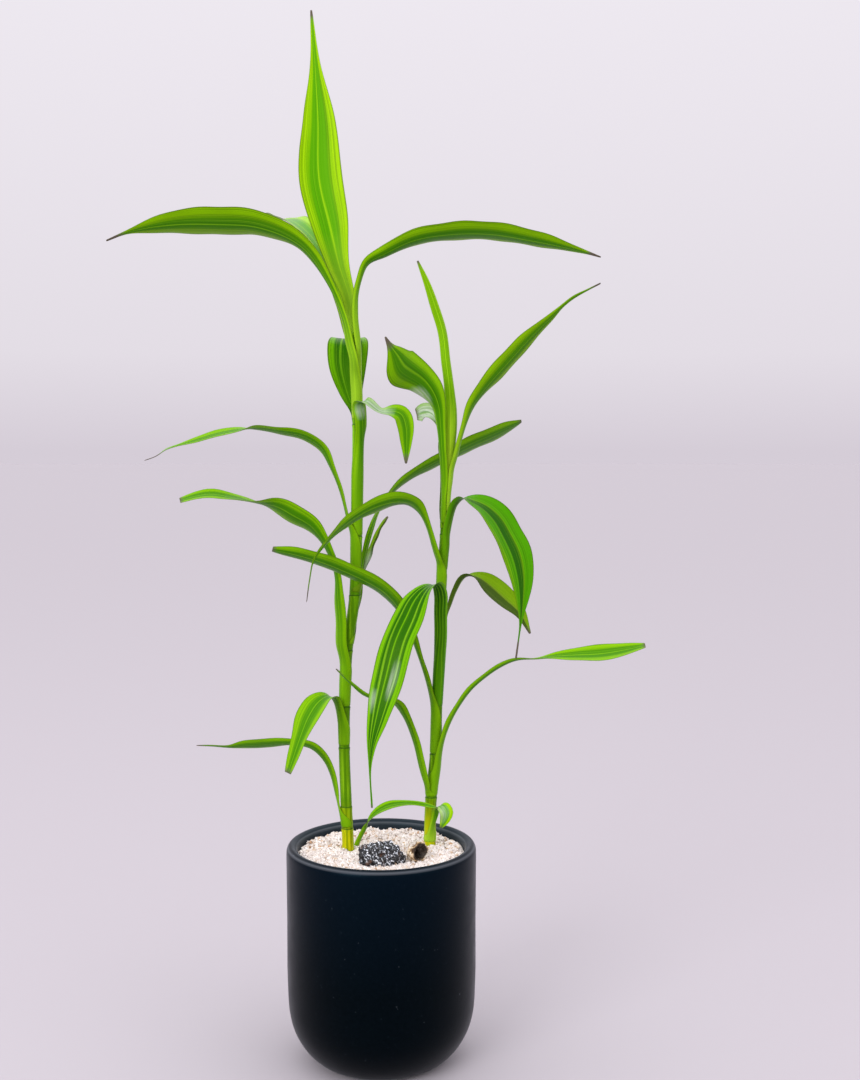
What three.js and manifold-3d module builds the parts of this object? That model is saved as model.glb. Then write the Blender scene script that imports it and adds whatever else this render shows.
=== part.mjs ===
// Lucky bamboo standing in a filled pot: two canes, their leaves, a bed of small
// stones, a lump of charcoal and a curl of bark. Millimetres, +Z up.
// The origin is the centre of the pot's flat foot, and the plant's front looks along -Y.
import * as THREE from 'three';
import { mergeVertices } from 'three/addons/utils/BufferGeometryUtils.js';
import Module from 'manifold-3d';

const wasm = await Module();
wasm.setup();

// ---------------------------------------------------------------- dimensions
const POT_RADIUS = 60;
const POT_HEIGHT = 138;
const POT_WALL = 7;
const POT_FOOT_RADIUS = 33;
const POT_FLOOR = 9;
const POT_SIDES = 36;

const GRAVEL_TOP = 132.5;
const GRAVEL_GAP = 0.4;
const HOLE_RADIUS = 4.4;
const HOLE_BOTTOM = 88;

const CANE_SIDES = 12;
const CANE_BOTTOM = 92;
// A leaf ring swells the cane at its height, over RING_BELOW under it and RING_ABOVE
// over it, where the cane is pinched in by RING_PINCH.
const RING_BULGE = 0.25;
const RING_BELOW = 2;
const RING_ABOVE = 1.2;
const RING_PINCH = 0.1;
const TOP_PINCH = 0.4;

// A sheath stands SHEATH_GAP off its cane, and it opens and leans out towards its mouth.
const SHEATH_GAP = 1.05;
const SHEATH_MOUTH = 150;
const SHEATH_LEAN = 0.05;
const MOUTH_LEAN = 0.5;
const LEAF_THICKNESS = 0.7;
const LEAF_COLUMNS = 6;
const LONG_SPAN = 16;
const TIP_WIDTH = 1.1;
const TIP_FOLD = 8;

const GRAVEL_SIDES = 48;
const GRAVEL_RINGS = [5, 10, 15, 20, 25, 30, 35, 40, 45, 49];
const SEAT_DEPTH = 0.6;
const EDGE_FALL = 1.2;

// Things lying on the stones: centre x and y, height of the seat they rest in, sizes.
const CHARCOAL = { x: -1.5, y: -24, z: 132.3, size: [27, 15, 12.5] };
const BARK = {
  x: 21.5, y: -19.5, z: 132.3, radius: 7, length: 10, wall: 2,
  turn: 40, opening: -60, curl: 310, steps: 18,
};

// ---------------------------------------------------------------- helpers
const rad = (degrees) => (degrees * Math.PI) / 180;

function closedMesh(name, positions, triangles, material) {
  const geometry = new THREE.BufferGeometry();
  geometry.setAttribute('position', new THREE.Float32BufferAttribute(positions, 3));
  geometry.setIndex(triangles);
  geometry.computeVertexNormals();
  const mesh = new THREE.Mesh(geometry, material);
  mesh.name = name;
  return mesh;
}

function toSolid(geometry) {
  const bare = geometry.clone();
  bare.deleteAttribute('normal');
  bare.deleteAttribute('uv');
  const merged = mergeVertices(bare, 1e-4);
  return new wasm.Manifold(new wasm.Mesh({
    numProp: 3,
    vertProperties: new Float32Array(merged.attributes.position.array),
    triVerts: new Uint32Array(merged.index.array),
  }));
}

function fromSolid(name, solid, material) {
  const mesh = solid.getMesh();
  return closedMesh(name, Array.from(mesh.vertProperties), Array.from(mesh.triVerts), material);
}

function paint(color, roughness) {
  return new THREE.MeshStandardMaterial({ color, roughness });
}

// Smooth curve through a list of equal-length rows of numbers, placed at the given
// knots: cubic Hermite pieces whose slopes are weighted finite differences.
function smoothRows(knots, rows) {
  const last = rows.length - 1;
  const channels = rows[0].length;
  const slopes = rows.map((row, i) => {
    const a = Math.max(i - 1, 0);
    const b = Math.min(i + 1, last);
    return row.map((value, c) => {
      if (i === 0 || i === last) {
        return (rows[b][c] - rows[a][c]) / (knots[b] - knots[a]);
      }
      const before = (value - rows[a][c]) / (knots[i] - knots[a]);
      const after = (rows[b][c] - value) / (knots[b] - knots[i]);
      const span = knots[b] - knots[a];
      return (before * (knots[b] - knots[i]) + after * (knots[i] - knots[a])) / span;
    });
  });
  return (i, u) => {
    const h = knots[i + 1] - knots[i];
    const out = [];
    for (let c = 0; c < channels; c++) {
      const p = rows[i][c];
      const q = rows[i + 1][c];
      const mp = slopes[i][c] * h;
      const mq = slopes[i + 1][c] * h;
      const u2 = u * u;
      const u3 = u2 * u;
      out.push((2 * u3 - 3 * u2 + 1) * p + (u3 - 2 * u2 + u) * mp
        + (3 * u2 - 2 * u3) * q + (u3 - u2) * mq);
    }
    return out;
  };
}

// ---------------------------------------------------------------- materials
const potPaint = paint(0x15181c, 0.6);
const gravelPaint = paint(0xd8cbbf, 0.85);
const charcoalPaint = paint(0x2b2c30, 0.8);
const barkPaint = paint(0xb9a183, 0.85);
const canePaint = paint(0x6fa61a, 0.45);
const leafPaint = paint(0x4f9a12, 0.45);
const youngLeafPaint = paint(0x8cc63f, 0.45);

// ---------------------------------------------------------------- pot
// Half section: flat foot, big round bottom corner, nearly straight wall, round lip.
function potSection() {
  const inner = POT_RADIUS - POT_WALL;
  const outline = [
    [0, 0], [POT_FOOT_RADIUS, 0], [41, 2.2], [47.5, 7.5], [53, 15], [56.8, 23.5],
    [58.8, 33], [59.5, 44], [POT_RADIUS, POT_HEIGHT - 6],
    [POT_RADIUS - 0.3, POT_HEIGHT - 2.6], [POT_RADIUS - 1.5, POT_HEIGHT - 0.7],
    [POT_RADIUS - 3.3, POT_HEIGHT], [POT_RADIUS - 5.2, POT_HEIGHT - 0.7],
    [inner + 0.5, POT_HEIGHT - 2.6], [inner, POT_HEIGHT - 6],
    [inner - 0.5, 44], [inner - 2, 32], [inner - 8, 20], [inner - 18, POT_FLOOR + 2],
    [inner - 26, POT_FLOOR], [0, POT_FLOOR],
  ];
  return outline.map(([r, z]) => new THREE.Vector2(r, z));
}

// A lathe turns about +Y, so its result is stood up on +Z.
function turned(points, sides) {
  const geometry = new THREE.LatheGeometry(points, sides);
  geometry.rotateX(Math.PI / 2);
  return geometry;
}

// ---------------------------------------------------------------- canes
// Centre points and radii [x, y, z, radius] from the hidden foot up, and the heights
// of the leaf rings.
const CANES = {
  left: {
    path: [
      [-21.3, 4, CANE_BOTTOM, 3.8], [-21.4, 4, 133, 3.8], [-22.6, 4, 165, 3.6],
      [-23.6, 4, 198, 3.5], [-23.1, 4, 229, 3.5], [-21.4, 4, 261, 3.5],
      [-16.8, 4, 293, 3.5], [-15.6, 4, 318, 3.5], [-15, 4, 355, 3.5],
      [-14.4, 4, 386, 3.4], [-14.7, 4, 417, 3.25], [-16, 4, 448, 3.25],
      [-17, 4, 460, 3.25],
    ],
    rings: [146, 160, 198, 224, 260, 295, 332, 402],
  },
  right: {
    path: [
      [30.6, 12, CANE_BOTTOM, 3.8], [30.6, 12, 132, 3.8], [31.4, 12, 162, 3.7],
      [34.2, 12, 192, 3.5], [35.5, 12, 229, 3.4], [37.6, 12, 266, 3.3],
      [37.9, 12, 298, 3.2], [39.8, 12, 330, 2.9], [40.9, 12, 355, 2.4],
      [41.3, 12, 367, 2],
    ],
    rings: [164, 192, 228, 247, 265, 297, 333, 352],
  },
};

function chordKnots(rows) {
  const knots = [0];
  for (let i = 1; i < rows.length; i++) {
    const d = Math.hypot(
      rows[i][0] - rows[i - 1][0],
      rows[i][1] - rows[i - 1][1],
      rows[i][2] - rows[i - 1][2],
    );
    knots.push(knots[i - 1] + d);
  }
  return knots;
}

// Centre and radius of a cane at height z.
function caneAt(cane, z) {
  const { path } = cane;
  let i = 0;
  while (i < path.length - 2 && path[i + 1][2] < z) i++;
  const knots = path.map((point) => point[2]);
  const curve = smoothRows(knots, path);
  const u = (z - path[i][2]) / (path[i + 1][2] - path[i][2]);
  const [x, y, , radius] = curve(i, u);
  return [x, y, radius];
}

function makeCane(name, cane) {
  const bottom = cane.path[0][2];
  const top = cane.path[cane.path.length - 1][2];
  const levels = [[bottom, 0], [GRAVEL_TOP, 0]];
  for (const ring of cane.rings) {
    levels.push([ring - RING_BELOW, 0], [ring, RING_BULGE], [ring + RING_ABOVE, -RING_PINCH]);
  }
  levels.push([top, -TOP_PINCH]);
  const positions = [];
  const triangles = [];
  for (const [z, bulge] of levels) {
    const [x, y, radius] = caneAt(cane, z);
    const r = radius + bulge;
    for (let k = 0; k < CANE_SIDES; k++) {
      const a = (2 * Math.PI * k) / CANE_SIDES;
      positions.push(x + r * Math.cos(a), y + r * Math.sin(a), z);
    }
  }
  const ring = (level, k) => level * CANE_SIDES + (k % CANE_SIDES);
  for (let level = 0; level < levels.length - 1; level++) {
    for (let k = 0; k < CANE_SIDES; k++) {
      triangles.push(ring(level, k), ring(level, k + 1), ring(level + 1, k + 1));
      triangles.push(ring(level, k), ring(level + 1, k + 1), ring(level + 1, k));
    }
  }
  const last = levels.length - 1;
  for (let k = 1; k < CANE_SIDES - 1; k++) {
    triangles.push(ring(0, 0), ring(0, k + 1), ring(0, k));
    triangles.push(ring(last, 0), ring(last, k), ring(last, k + 1));
  }
  return closedMesh(name, positions, triangles, canePaint);
}

// ---------------------------------------------------------------- leaves
// Each leaf clasps its cane with an open sheath from height `from` to height `to`,
// on the side that `side` gives in degrees (0 is +X, 90 is the back, 270 the front).
// The `wrap` is how many degrees of the cane it covers. A leaf without these four has
// no sheath. Then its stations follow: [x, y, z, width across, channel fold in degrees,
// and the direction that the upper face looks in as x, y, z].
const LEAVES = {
  leaf_left_01: { cane: 'left', stations: [
    [-15.5, -1.2, 136, 4.5, 120, -0.6, 0.8, 0.1],
    [-13, -2, 142, 4.5, 115, -0.6, 0.8, 0.2],
    [-10.5, -3.5, 147, 4.5, 110, -0.5, 0.8, 0.3],
    [-7.5, -6, 154, 5, 90, -0.4, -0.3, 0.8],
    [-1.5, -8, 160.5, 7, 60, -0.3, -0.5, 0.8],
    [5, -9, 164, 7.5, 55, -0.2, -0.5, 0.8],
    [14, -9, 165.5, 5.5, 50, 0, -0.5, 0.9],
    [22.5, -9, 165.5, 4, 40, 0.1, -0.5, 0.9],
    [29, -8, 164, 4, 40, 0.1, -0.5, 0.9],
    [36, -7, 162, 1.2, 20, 0.2, -0.4, 0.9],
  ] },
  leaf_left_02: { cane: 'left', from: 147, to: 154, side: 190, wrap: 225, stations: [
    [-30, 5.5, 170.5, 6.5, 110, 0.9, 0.5, 0.2],
    [-32, 5, 181, 7, 100, 0.7, 0.7, 0.3],
    [-36, 5, 190, 7.5, 90, 0.5, 0.75, 0.4],
    [-43.5, 6, 197.5, 8.5, 80, 0.3, 0.75, 0.6],
    [-59, 8, 200, 8.5, 60, 0, 0.7, 0.7],
    [-71.5, 10, 199, 10.5, 55, 0, 0.7, 0.7],
    [-80.5, 11, 198, 11.5, 50, 0, 0.7, 0.7],
    [-89.5, 12, 197.5, 8.5, 45, 0, 0.7, 0.7],
    [-97.5, 13, 196.5, 4.5, 40, 0, 0.6, 0.8],
    [-110, 14, 197, 3.2, 30, 0, 0.5, 0.9],
    [-119.5, 15, 197, 1.2, 20, 0, 0.4, 0.9],
  ] },
  leaf_left_03: { cane: 'left', from: 200, to: 214, side: 238, wrap: 225, stations: [
    [-28, -1.5, 227, 8, 90, 0.6, 0.8, 0.1],
    [-29.5, -4.5, 231.5, 8.5, 80, 0.2, 0.5, 0.9],
    [-34, -9, 233, 10, 55, 0, -0.5, 0.9],
    [-38.5, -13, 230.5, 16, 45, -0.4, -0.8, 0.4],
    [-44, -17, 222.5, 18.5, 40, -0.6, -0.8, 0.2],
    [-48.5, -20, 211.5, 14, 40, -0.6, -0.8, 0.2],
    [-53, -22, 198.5, 9.5, 40, -0.6, -0.8, 0.2],
    [-56.5, -23, 188, 5.5, 30, -0.6, -0.8, 0.2],
  ] },
  leaf_left_04: { cane: 'left', from: 225, to: 253, side: 240, wrap: 225, stations: [
    [-25.5, -2.2, 264, 9, 100, 0.4, 0.9, 0],
    [-25.5, -4.5, 277.5, 9, 105, 0.4, 0.9, 0.1],
    [-26.5, -6.5, 292, 9, 105, 0.5, 0.8, 0.1],
    [-28, -8, 311, 7.5, 105, 0.7, 0.6, 0.3],
    [-37, -10, 332.5, 11, 80, 0.5, 0.7, 0.6],
    [-43.5, -11, 340, 15.5, 70, 0.3, 0.7, 0.6],
    [-53, -12, 345.5, 17.5, 60, 0.2, 0.8, 0.6],
    [-64.5, -13, 352, 15, 50, 0, 0.6, 0.8],
    [-76, -14, 354, 12, 45, 0, 0.1, 1],
    [-91, -15, 357.5, 10, 40, 0, -0.4, 0.9],
    [-104, -16, 359.5, 9, 40, 0, -0.6, 0.8],
    [-113.5, -17, 358, 8, 40, 0, -0.6, 0.8],
    [-122, -18, 355.5, 5, 30, 0, -0.6, 0.8],
  ] },
  leaf_left_05: { cane: 'left', from: 296.8, to: 301, side: 15, wrap: 225, stations: [
    [-11.5, 5.6, 304.5, 5, 100, -1, 0, 0],
    [-9, 6, 313.5, 4.5, 80, -0.9, -0.4, 0.1],
    [-7, 5.5, 320.5, 6, 50, -0.7, -0.7, 0.1],
    [-5.5, 5, 326.5, 3.2, 50, -0.6, -0.7, 0.2],
    [-2.5, 4.5, 333, 4.4, 60, -0.6, -0.7, 0.2],
    [-0.5, 4.5, 338, 2.4, 50, -0.5, -0.8, 0.2],
    [2, 4.5, 341.5, 3.2, 40, -0.5, -0.8, 0.2],
    [4.5, 4.5, 345, 1.2, 20, -0.5, -0.8, 0.2],
  ] },
  leaf_left_06: { cane: 'left', from: 312, to: 335, side: 195, wrap: 225, stations: [
    [-21.5, 2.4, 341, 8, 80, 1, 0.3, 0],
    [-22.4, 2, 348.5, 7, 100, 1, 0.2, 0.1],
    [-26.5, 0, 364, 7, 110, 0.9, 0.3, 0.3],
    [-31.5, -2, 377, 8, 90, 0.7, 0.5, 0.5],
    [-36.5, -4, 387.5, 9.5, 60, 0.5, 0.6, 0.6],
    [-46, -6, 394, 11, 50, 0.2, 0.6, 0.8],
    [-62, -8, 397.5, 10.5, 45, 0.1, 0.4, 0.9],
    [-80, -10, 399.5, 9.5, 40, 0, 0.1, 1],
    [-84.5, -11, 399, 8, 40, 0, -0.3, 0.9],
    [-98, -12, 396.5, 9, 40, -0.1, -0.5, 0.9],
    [-112, -13, 392.5, 6.5, 40, -0.1, -0.6, 0.8],
    [-126, -14, 388.5, 2, 40, -0.1, -0.5, 0.9],
    [-130.5, -14.5, 387, 3.2, 40, -0.1, -0.3, 0.9],
    [-136, -15, 383, 1.4, 20, 0, 0, 1],
    [-144, -15, 380, 1.2, 20, 0, 0, 1],
  ] },
  leaf_left_07: { cane: 'left', from: 264, to: 270, side: 60, wrap: 225, stations: [
    [-17.4, 10, 281, 7, 90, -0.5, -0.85, 0],
    [-13.4, 11.2, 296, 6.5, 100, -0.6, -0.8, 0.1],
    [-12.5, 12.5, 308.5, 6.5, 110, -0.8, -0.6, 0.1],
    [-10, 13.5, 320.5, 6.5, 110, -0.8, -0.6, 0.1],
    [-6, 16, 335.5, 7, 110, -0.7, -0.5, 0.4],
    [-1.5, 20, 347.5, 8.5, 90, -0.6, 0, 0.7],
    [8, 25, 360.5, 10, 70, -0.4, 0.4, 0.8],
    [21.5, 31, 371, 12, 60, -0.2, 0.6, 0.8],
    [38, 37, 379.5, 14.5, 55, -0.2, 0.6, 0.8],
    [57, 44, 389, 17.5, 50, -0.2, 0.6, 0.8],
    [74, 49, 396.5, 16.5, 45, -0.2, 0.6, 0.8],
    [85, 52.5, 402, 11, 40, -0.2, 0.6, 0.8],
    [91.5, 54, 405.5, 3.5, 40, -0.2, 0.6, 0.8],
  ] },
  leaf_left_08: { cane: 'left', from: 339, to: 392, side: 318, wrap: 225, stations: [
    [-11, -1.5, 399, 9, 85, -0.5, 0.8, 0],
    [-11.5, -3.2, 407.5, 9.5, 85, -0.5, 0.8, 0.2],
    [-12.5, -5.5, 415.5, 9.5, 80, -0.1, 0.4, 0.9],
    [-9, -8, 417, 8, 60, 0.2, -0.6, 0.8],
    [-4, -8.5, 413, 7, 60, 0.3, -0.7, 0.7],
    [1, -8, 409.5, 8, 60, 0, -0.5, 0.9],
    [7, -8, 410, 11, 50, 0.2, -0.7, 0.7],
    [12.5, -8.5, 408.5, 13, 45, 0.5, -0.8, 0.3],
    [15.5, -9, 401, 11.5, 45, 0.4, -0.9, 0],
    [16, -9, 392, 8, 40, 0.2, -0.9, 0],
    [16, -9, 378, 1.2, 20, 0.2, -0.9, 0],
  ] },
  leaf_left_09: { cane: 'left', from: 403.5, to: 408.5, side: 90, wrap: 165, stations: [
    [-18.5, 12, 421.5, 16, 90, 0, -1, 0.2],
    [-21, 14, 439.5, 25, 55, 0, -1, 0.3],
    [-21, 19, 453.5, 26, 34, 0, -0.8, 0.6],
    [-21.5, 28, 457.5, 21.5, 28, 0, 0, 1],
    [-22, 43, 452.5, 22, 40, 0, 0.6, 0.8],
    [-22, 58, 438.5, 17, 45, 0, 0.8, 0.5],
    [-21.5, 70, 422, 8, 40, 0, 0.9, 0.4],
    [-21, 78, 409, 1.2, 20, 0, 0.9, 0.4],
  ] },
  leaf_left_10: { cane: 'left', from: 412, to: 432, side: 250, wrap: 225, stations: [
    [-17, -3, 443, 6.5, 80, 0.4, 0.9, 0],
    [-19.5, -2.6, 452.5, 6.5, 85, 0.5, 0.85, 0],
    [-21.5, -2.8, 463.5, 6, 95, 0.6, 0.8, 0],
    [-24.5, -2.8, 473, 6, 105, 0.7, 0.7, 0.1],
    [-28, -2.8, 481.5, 6.5, 110, 0.7, 0.6, 0.3],
    [-33.5, -3.5, 492, 8.5, 110, 0.6, 0.6, 0.5],
    [-47, -6, 510, 14, 100, 0.3, 0.6, 0.8],
    [-73, -10, 521.5, 22, 75, 0, 0.6, 0.8],
    [-99, -13, 523, 24, 60, 0, 0.62, 0.8],
    [-126, -16, 522, 18, 55, 0, 0.62, 0.8],
    [-142, -18, 519.5, 9, 50, 0, 0.62, 0.8],
    [-152, -19, 517, 3, 40, 0, 0.62, 0.8],
    [-164, -20, 512, 1.2, 20, 0, 0.62, 0.8],
  ] },
  leaf_left_11: { cane: 'left', from: 436.5, to: 441.5, side: 335, wrap: 225, stations: [
    [-12, -0.6, 448, 6, 85, -0.8, 0.6, 0],
    [-13.5, -1.8, 456.5, 4.8, 90, -0.5, 0.85, 0],
    [-14.5, -2, 466, 4.8, 100, -0.5, 0.85, 0],
    [-14.5, -1.6, 474.5, 5.5, 110, -0.6, 0.8, 0.1],
    [-13.5, -0.5, 482.5, 6.5, 115, -0.8, 0.5, 0.3],
    [-11.5, 0, 491, 7, 120, -0.8, 0.4, 0.4],
    [-7.5, 0.5, 501.5, 9, 120, -0.7, 0.5, 0.6],
    [1.5, -1, 506, 11, 105, -0.4, 0.6, 0.7],
    [20, -4, 514, 16.5, 80, -0.1, 0.5, 0.9],
    [43, -7, 517.5, 20, 65, 0, 0.45, 0.9],
    [67, -10, 517.5, 20, 60, 0, 0.45, 0.9],
    [91, -13, 513.5, 17, 60, 0, 0.48, 0.9],
    [112, -15, 509, 10, 50, 0.1, 0.5, 0.9],
    [125, -17, 505.5, 3.5, 40, 0.1, 0.5, 0.9],
    [134, -18, 502.5, 1.2, 20, 0.1, 0.5, 0.9],
  ] },
  leaf_left_12: { cane: 'left', from: 447, to: 451, side: 120, wrap: 225, stations: [
    [-20, 10.7, 458, 8, 75, 0.45, -0.9, 0],
    [-23, 13.3, 468, 9, 95, 0.5, -0.8, 0.1],
    [-30, 18.5, 490, 12, 110, 0.5, -0.7, 0.5],
    [-41, 30, 517, 20, 70, 0.3, -0.3, 0.9],
    [-55, 48, 533, 24, 60, 0, -0.1, 1],
    [-70, 75, 541, 22, 55, 0, 0.1, 1],
    [-86, 100, 543, 14, 50, 0, 0.3, 0.9],
    [-103, 122, 542, 1.2, 20, 0, 0.3, 0.9],
  ] },
  leaf_left_13: { cane: 'left', from: 455.6, to: 460, side: 90, wrap: 225, stations: [
    [-18, 9.2, 466, 9, 130, 0, -1, 0],
    [-20, 9, 480, 9.5, 110, 0, -1, 0],
    [-26.5, 10, 502, 15.5, 80, 0, -1, 0.1],
    [-32, 12, 529, 25, 55, 0, -1, 0.1],
    [-37, 14, 553, 28, 45, 0, -1, 0.1],
    [-38.5, 17, 593, 20.5, 40, 0, -1, 0.1],
    [-41, 20, 628, 6.5, 40, 0, -1, 0.1],
    [-43.5, 22, 661, 1.2, 20, 0, -1, 0.1],
  ] },
  leaf_right_01: { cane: 'right', from: 135.5, to: 140, side: 300, wrap: 225, stations: [
    [32.5, 5.8, 144.5, 5.5, 120, -0.4, 0.9, 0.1],
    [34.5, 4, 154, 6, 100, -0.4, 0.8, 0.4],
    [36, 1, 161, 8, 60, 0, -0.2, 1],
    [39.5, -3, 161.5, 10.5, 40, 0.4, -0.8, 0.5],
    [41.5, -4.5, 158, 11, 35, 0.5, -0.9, 0.1],
    [40, -4.5, 153.5, 7, 30, 0.3, -0.9, 0],
    [37.5, -4.5, 148.5, 1.6, 20, 0.3, -0.9, -0.1],
  ] },
  leaf_right_02: { cane: 'right', from: 165.3, to: 168.8, side: 200, wrap: 225, stations: [
    [27.5, 7, 173.5, 7, 110, 0.7, 0.7, 0.1],
    [25, 4.5, 186, 7, 100, 0.6, 0.75, 0.2],
    [20.5, 1.5, 205, 7, 90, 0.6, 0.7, 0.4],
    [15, -2, 219, 8.5, 80, 0.5, 0.6, 0.6],
    [9, -5, 228.5, 9.5, 60, 0.3, 0.6, 0.8],
    [0, -8, 231, 6.5, 50, 0, 0.6, 0.8],
    [-8, -10, 233.5, 4.5, 50, 0, 0.6, 0.8],
    [-18, -13, 242, 4, 50, 0.3, 0.6, 0.8],
    [-27.5, -14, 251.5, 1.2, 20, 0.3, 0.6, 0.8],
  ] },
  leaf_right_03: { cane: 'right', from: 171.5, to: 181, side: 325, wrap: 225, stations: [
    [38, 7.6, 193, 8, 85, -0.8, 0.6, 0],
    [40, 7, 203.5, 7, 100, -0.8, 0.5, 0.2],
    [44, 7, 215, 6.5, 100, -0.7, 0.6, 0.3],
    [49, 7, 224, 6.5, 95, -0.7, 0.6, 0.4],
    [56, 6.5, 234, 6.5, 90, -0.6, 0.6, 0.6],
    [65, 5.5, 242.5, 6.5, 85, -0.5, 0.6, 0.7],
    [74, 5, 249, 6.5, 80, -0.4, 0.6, 0.8],
    [85, 4, 254, 6, 70, -0.2, 0.5, 0.9],
    [98, 2, 255, 5, 60, 0, 0, 1],
    [109.5, 0, 257, 7, 50, 0, -0.5, 0.9],
    [121.5, -2, 258, 11.5, 50, 0, -0.6, 0.8],
    [136.5, -4, 259, 14.5, 50, 0, -0.6, 0.8],
    [151, -6, 261.5, 12, 45, 0, -0.6, 0.8],
    [165, -8, 265, 4.5, 40, 0, -0.5, 0.9],
  ] },
  leaf_right_04: { cane: 'right', from: 193, to: 224, side: 205, wrap: 225, stations: [
    [30.2, 9.2, 230, 9, 80, 0.9, 0.43, 0],
    [28.5, 8, 240, 8, 100, 0.9, 0.4, 0.2],
    [22, 4.5, 260.5, 9, 110, 0.8, 0.3, 0.4],
    [16, 1.5, 277, 12, 90, 0.7, 0.4, 0.5],
    [10, -2, 288.5, 15, 80, 0.5, 0.5, 0.7],
    [3, -7, 297, 17, 75, 0.4, 0.6, 0.7],
    [-11, -14, 306.5, 17.5, 75, 0.3, 0.6, 0.7],
    [-20, -17, 311, 17, 75, 0.2, 0.6, 0.7],
    [-36, -21, 318, 15, 75, 0.2, 0.6, 0.7],
    [-50.5, -24, 322.5, 13, 75, 0.1, 0.6, 0.7],
    [-65, -26, 326, 6, 75, 0.1, 0.6, 0.7],
  ] },
  leaf_right_05: { cane: 'right', from: 229.5, to: 259, side: 262, wrap: 225, stations: [
    [37.5, 6, 266.5, 9.8, 120, 0, 1, 0],
    [37.5, 5, 284.5, 9.8, 110, 0, 1, 0.1],
    [37.5, 3, 296, 9.8, 100, 0, 1, 0.3],
    [35, -2, 302.5, 8, 70, -0.2, 0.3, 0.9],
    [29, -8, 301, 11, 50, -0.4, -0.5, 0.8],
    [23, -13, 294, 17.5, 45, -0.4, -0.8, 0.4],
    [18, -18, 283.5, 20, 40, -0.3, -0.9, 0.2],
    [12.5, -23, 272, 20.5, 40, -0.3, -0.9, 0.1],
    [5.5, -29, 247, 21, 40, -0.3, -0.9, 0.1],
    [-0.5, -32, 225, 14.5, 40, -0.3, -0.9, 0.1],
    [-4.5, -33, 207.5, 6, 40, -0.2, -0.9, 0.1],
    [-5.5, -33, 197, 2.4, 30, -0.2, -0.9, 0.1],
    [-4.5, -33, 169, 1.2, 20, -0.2, -0.9, 0.1],
  ] },
  leaf_right_06: { cane: 'right', from: 266, to: 272, side: 30, wrap: 225, stations: [
    [41, 15, 277, 6.5, 100, -0.8, -0.5, 0.1],
    [44, 16, 287, 6.5, 110, -0.8, 0.3, 0.3],
    [47.5, 17.5, 297, 7, 100, -0.7, 0.5, 0.4],
    [53, 18.5, 305.5, 7.5, 80, -0.4, 0.5, 0.8],
    [58.5, 19.5, 306, 8, 60, 0.3, -0.3, 0.9],
    [64, 20, 303.5, 12.5, 50, 0.4, -0.7, 0.6],
    [72, 20, 297.5, 17, 45, 0.4, -0.8, 0.5],
    [80, 19.5, 290.5, 16, 45, 0.4, -0.8, 0.4],
    [88, 18, 283, 9.5, 40, 0.4, -0.8, 0.4],
    [95, 17, 269, 1.6, 20, 0.5, -0.8, 0.3],
  ] },
  leaf_right_07: { cane: 'right', from: 297.5, to: 314, side: 215, wrap: 225, stations: [
    [34.5, 7, 318.5, 8, 90, 0.8, 0.6, 0],
    [32.5, 5.2, 326, 7.5, 105, 0.85, 0.5, 0.1],
    [29.5, 2.5, 336.5, 8, 110, 0.8, 0.4, 0.3],
    [25.5, -1.5, 346, 9.5, 95, 0.7, 0.5, 0.4],
    [20, -6, 352.5, 15, 75, 0.4, 0.6, 0.7],
    [12, -12, 354.5, 17, 70, 0.1, 0.65, 0.7],
    [1, -18, 352.5, 16.5, 65, 0, 0.65, 0.7],
    [-13, -23, 346, 13.5, 60, -0.1, 0.6, 0.8],
    [-25, -28, 337, 12.5, 55, -0.3, 0.4, 0.8],
    [-32.5, -33, 329, 8, 50, -0.5, 0.3, 0.7],
    [-38.5, -37, 321, 4.5, 40, -0.7, 0.2, 0.6],
    [-41, -39, 309, 3.6, 40, -0.9, 0, 0.2],
    [-43, -39, 295.5, 1.2, 20, -0.9, 0, 0],
  ] },
  leaf_right_08: { cane: 'right', from: 317, to: 327, side: 325, wrap: 225, stations: [
    [42, 6.9, 334.5, 6.6, 95, -0.4, 0.9, 0],
    [44, 5.5, 344, 7.5, 105, -0.6, 0.7, 0.2],
    [47, 2.5, 352.5, 8.5, 90, -0.5, 0.5, 0.6],
    [51.5, -1, 356.5, 10.5, 70, -0.1, 0.2, 0.9],
    [56.5, -3, 355, 14, 60, 0.3, -0.5, 0.8],
    [63.5, -4.5, 352, 18, 55, 0.4, -0.7, 0.6],
    [72.5, -7, 344, 21, 45, 0.4, -0.8, 0.4],
    [78.5, -9, 333.5, 22, 45, 0.4, -0.8, 0.4],
    [84, -11, 322, 20.5, 45, 0.3, -0.9, 0.2],
    [87, -12.5, 308.5, 16, 45, 0.2, -0.9, 0.1],
    [87.5, -13, 294, 8.5, 45, 0.2, -0.9, 0.1],
    [87, -13, 283, 2.8, 30, 0.2, -0.9, 0.1],
    [84, -13, 257.5, 1.2, 20, 0.2, -0.9, 0.1],
  ] },
  leaf_right_09: { cane: 'right', from: 336.5, to: 341.5, side: 110, wrap: 225, stations: [
    [39, 17.2, 349.5, 7.5, 90, 0.35, -0.94, 0],
    [39.5, 18.5, 366, 7, 100, 0.4, -0.9, 0],
    [38.5, 20, 385, 8, 110, 0.4, -0.8, 0.3],
    [35.5, 22, 403, 11, 80, 0.3, -0.1, 0.9],
    [31, 27, 410, 13.5, 50, -0.2, -0.6, 0.7],
    [26.5, 30, 410.5, 13.5, 40, -0.5, -0.8, 0.3],
    [22, 32, 409, 8, 40, -0.6, -0.8, 0.2],
  ] },
  leaf_right_10: { cane: 'right', from: 346.3, to: 351, side: 205, wrap: 150, stations: [
    [38, 9, 355, 5.6, 105, 0.8, 0.6, 0],
    [38.5, 7.6, 365, 6.2, 110, 0.6, 0.8, 0],
    [38.5, 6.2, 376.5, 6.2, 110, 0.5, 0.85, 0],
    [38, 4.8, 388.5, 6.4, 110, 0.5, 0.85, 0],
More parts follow.
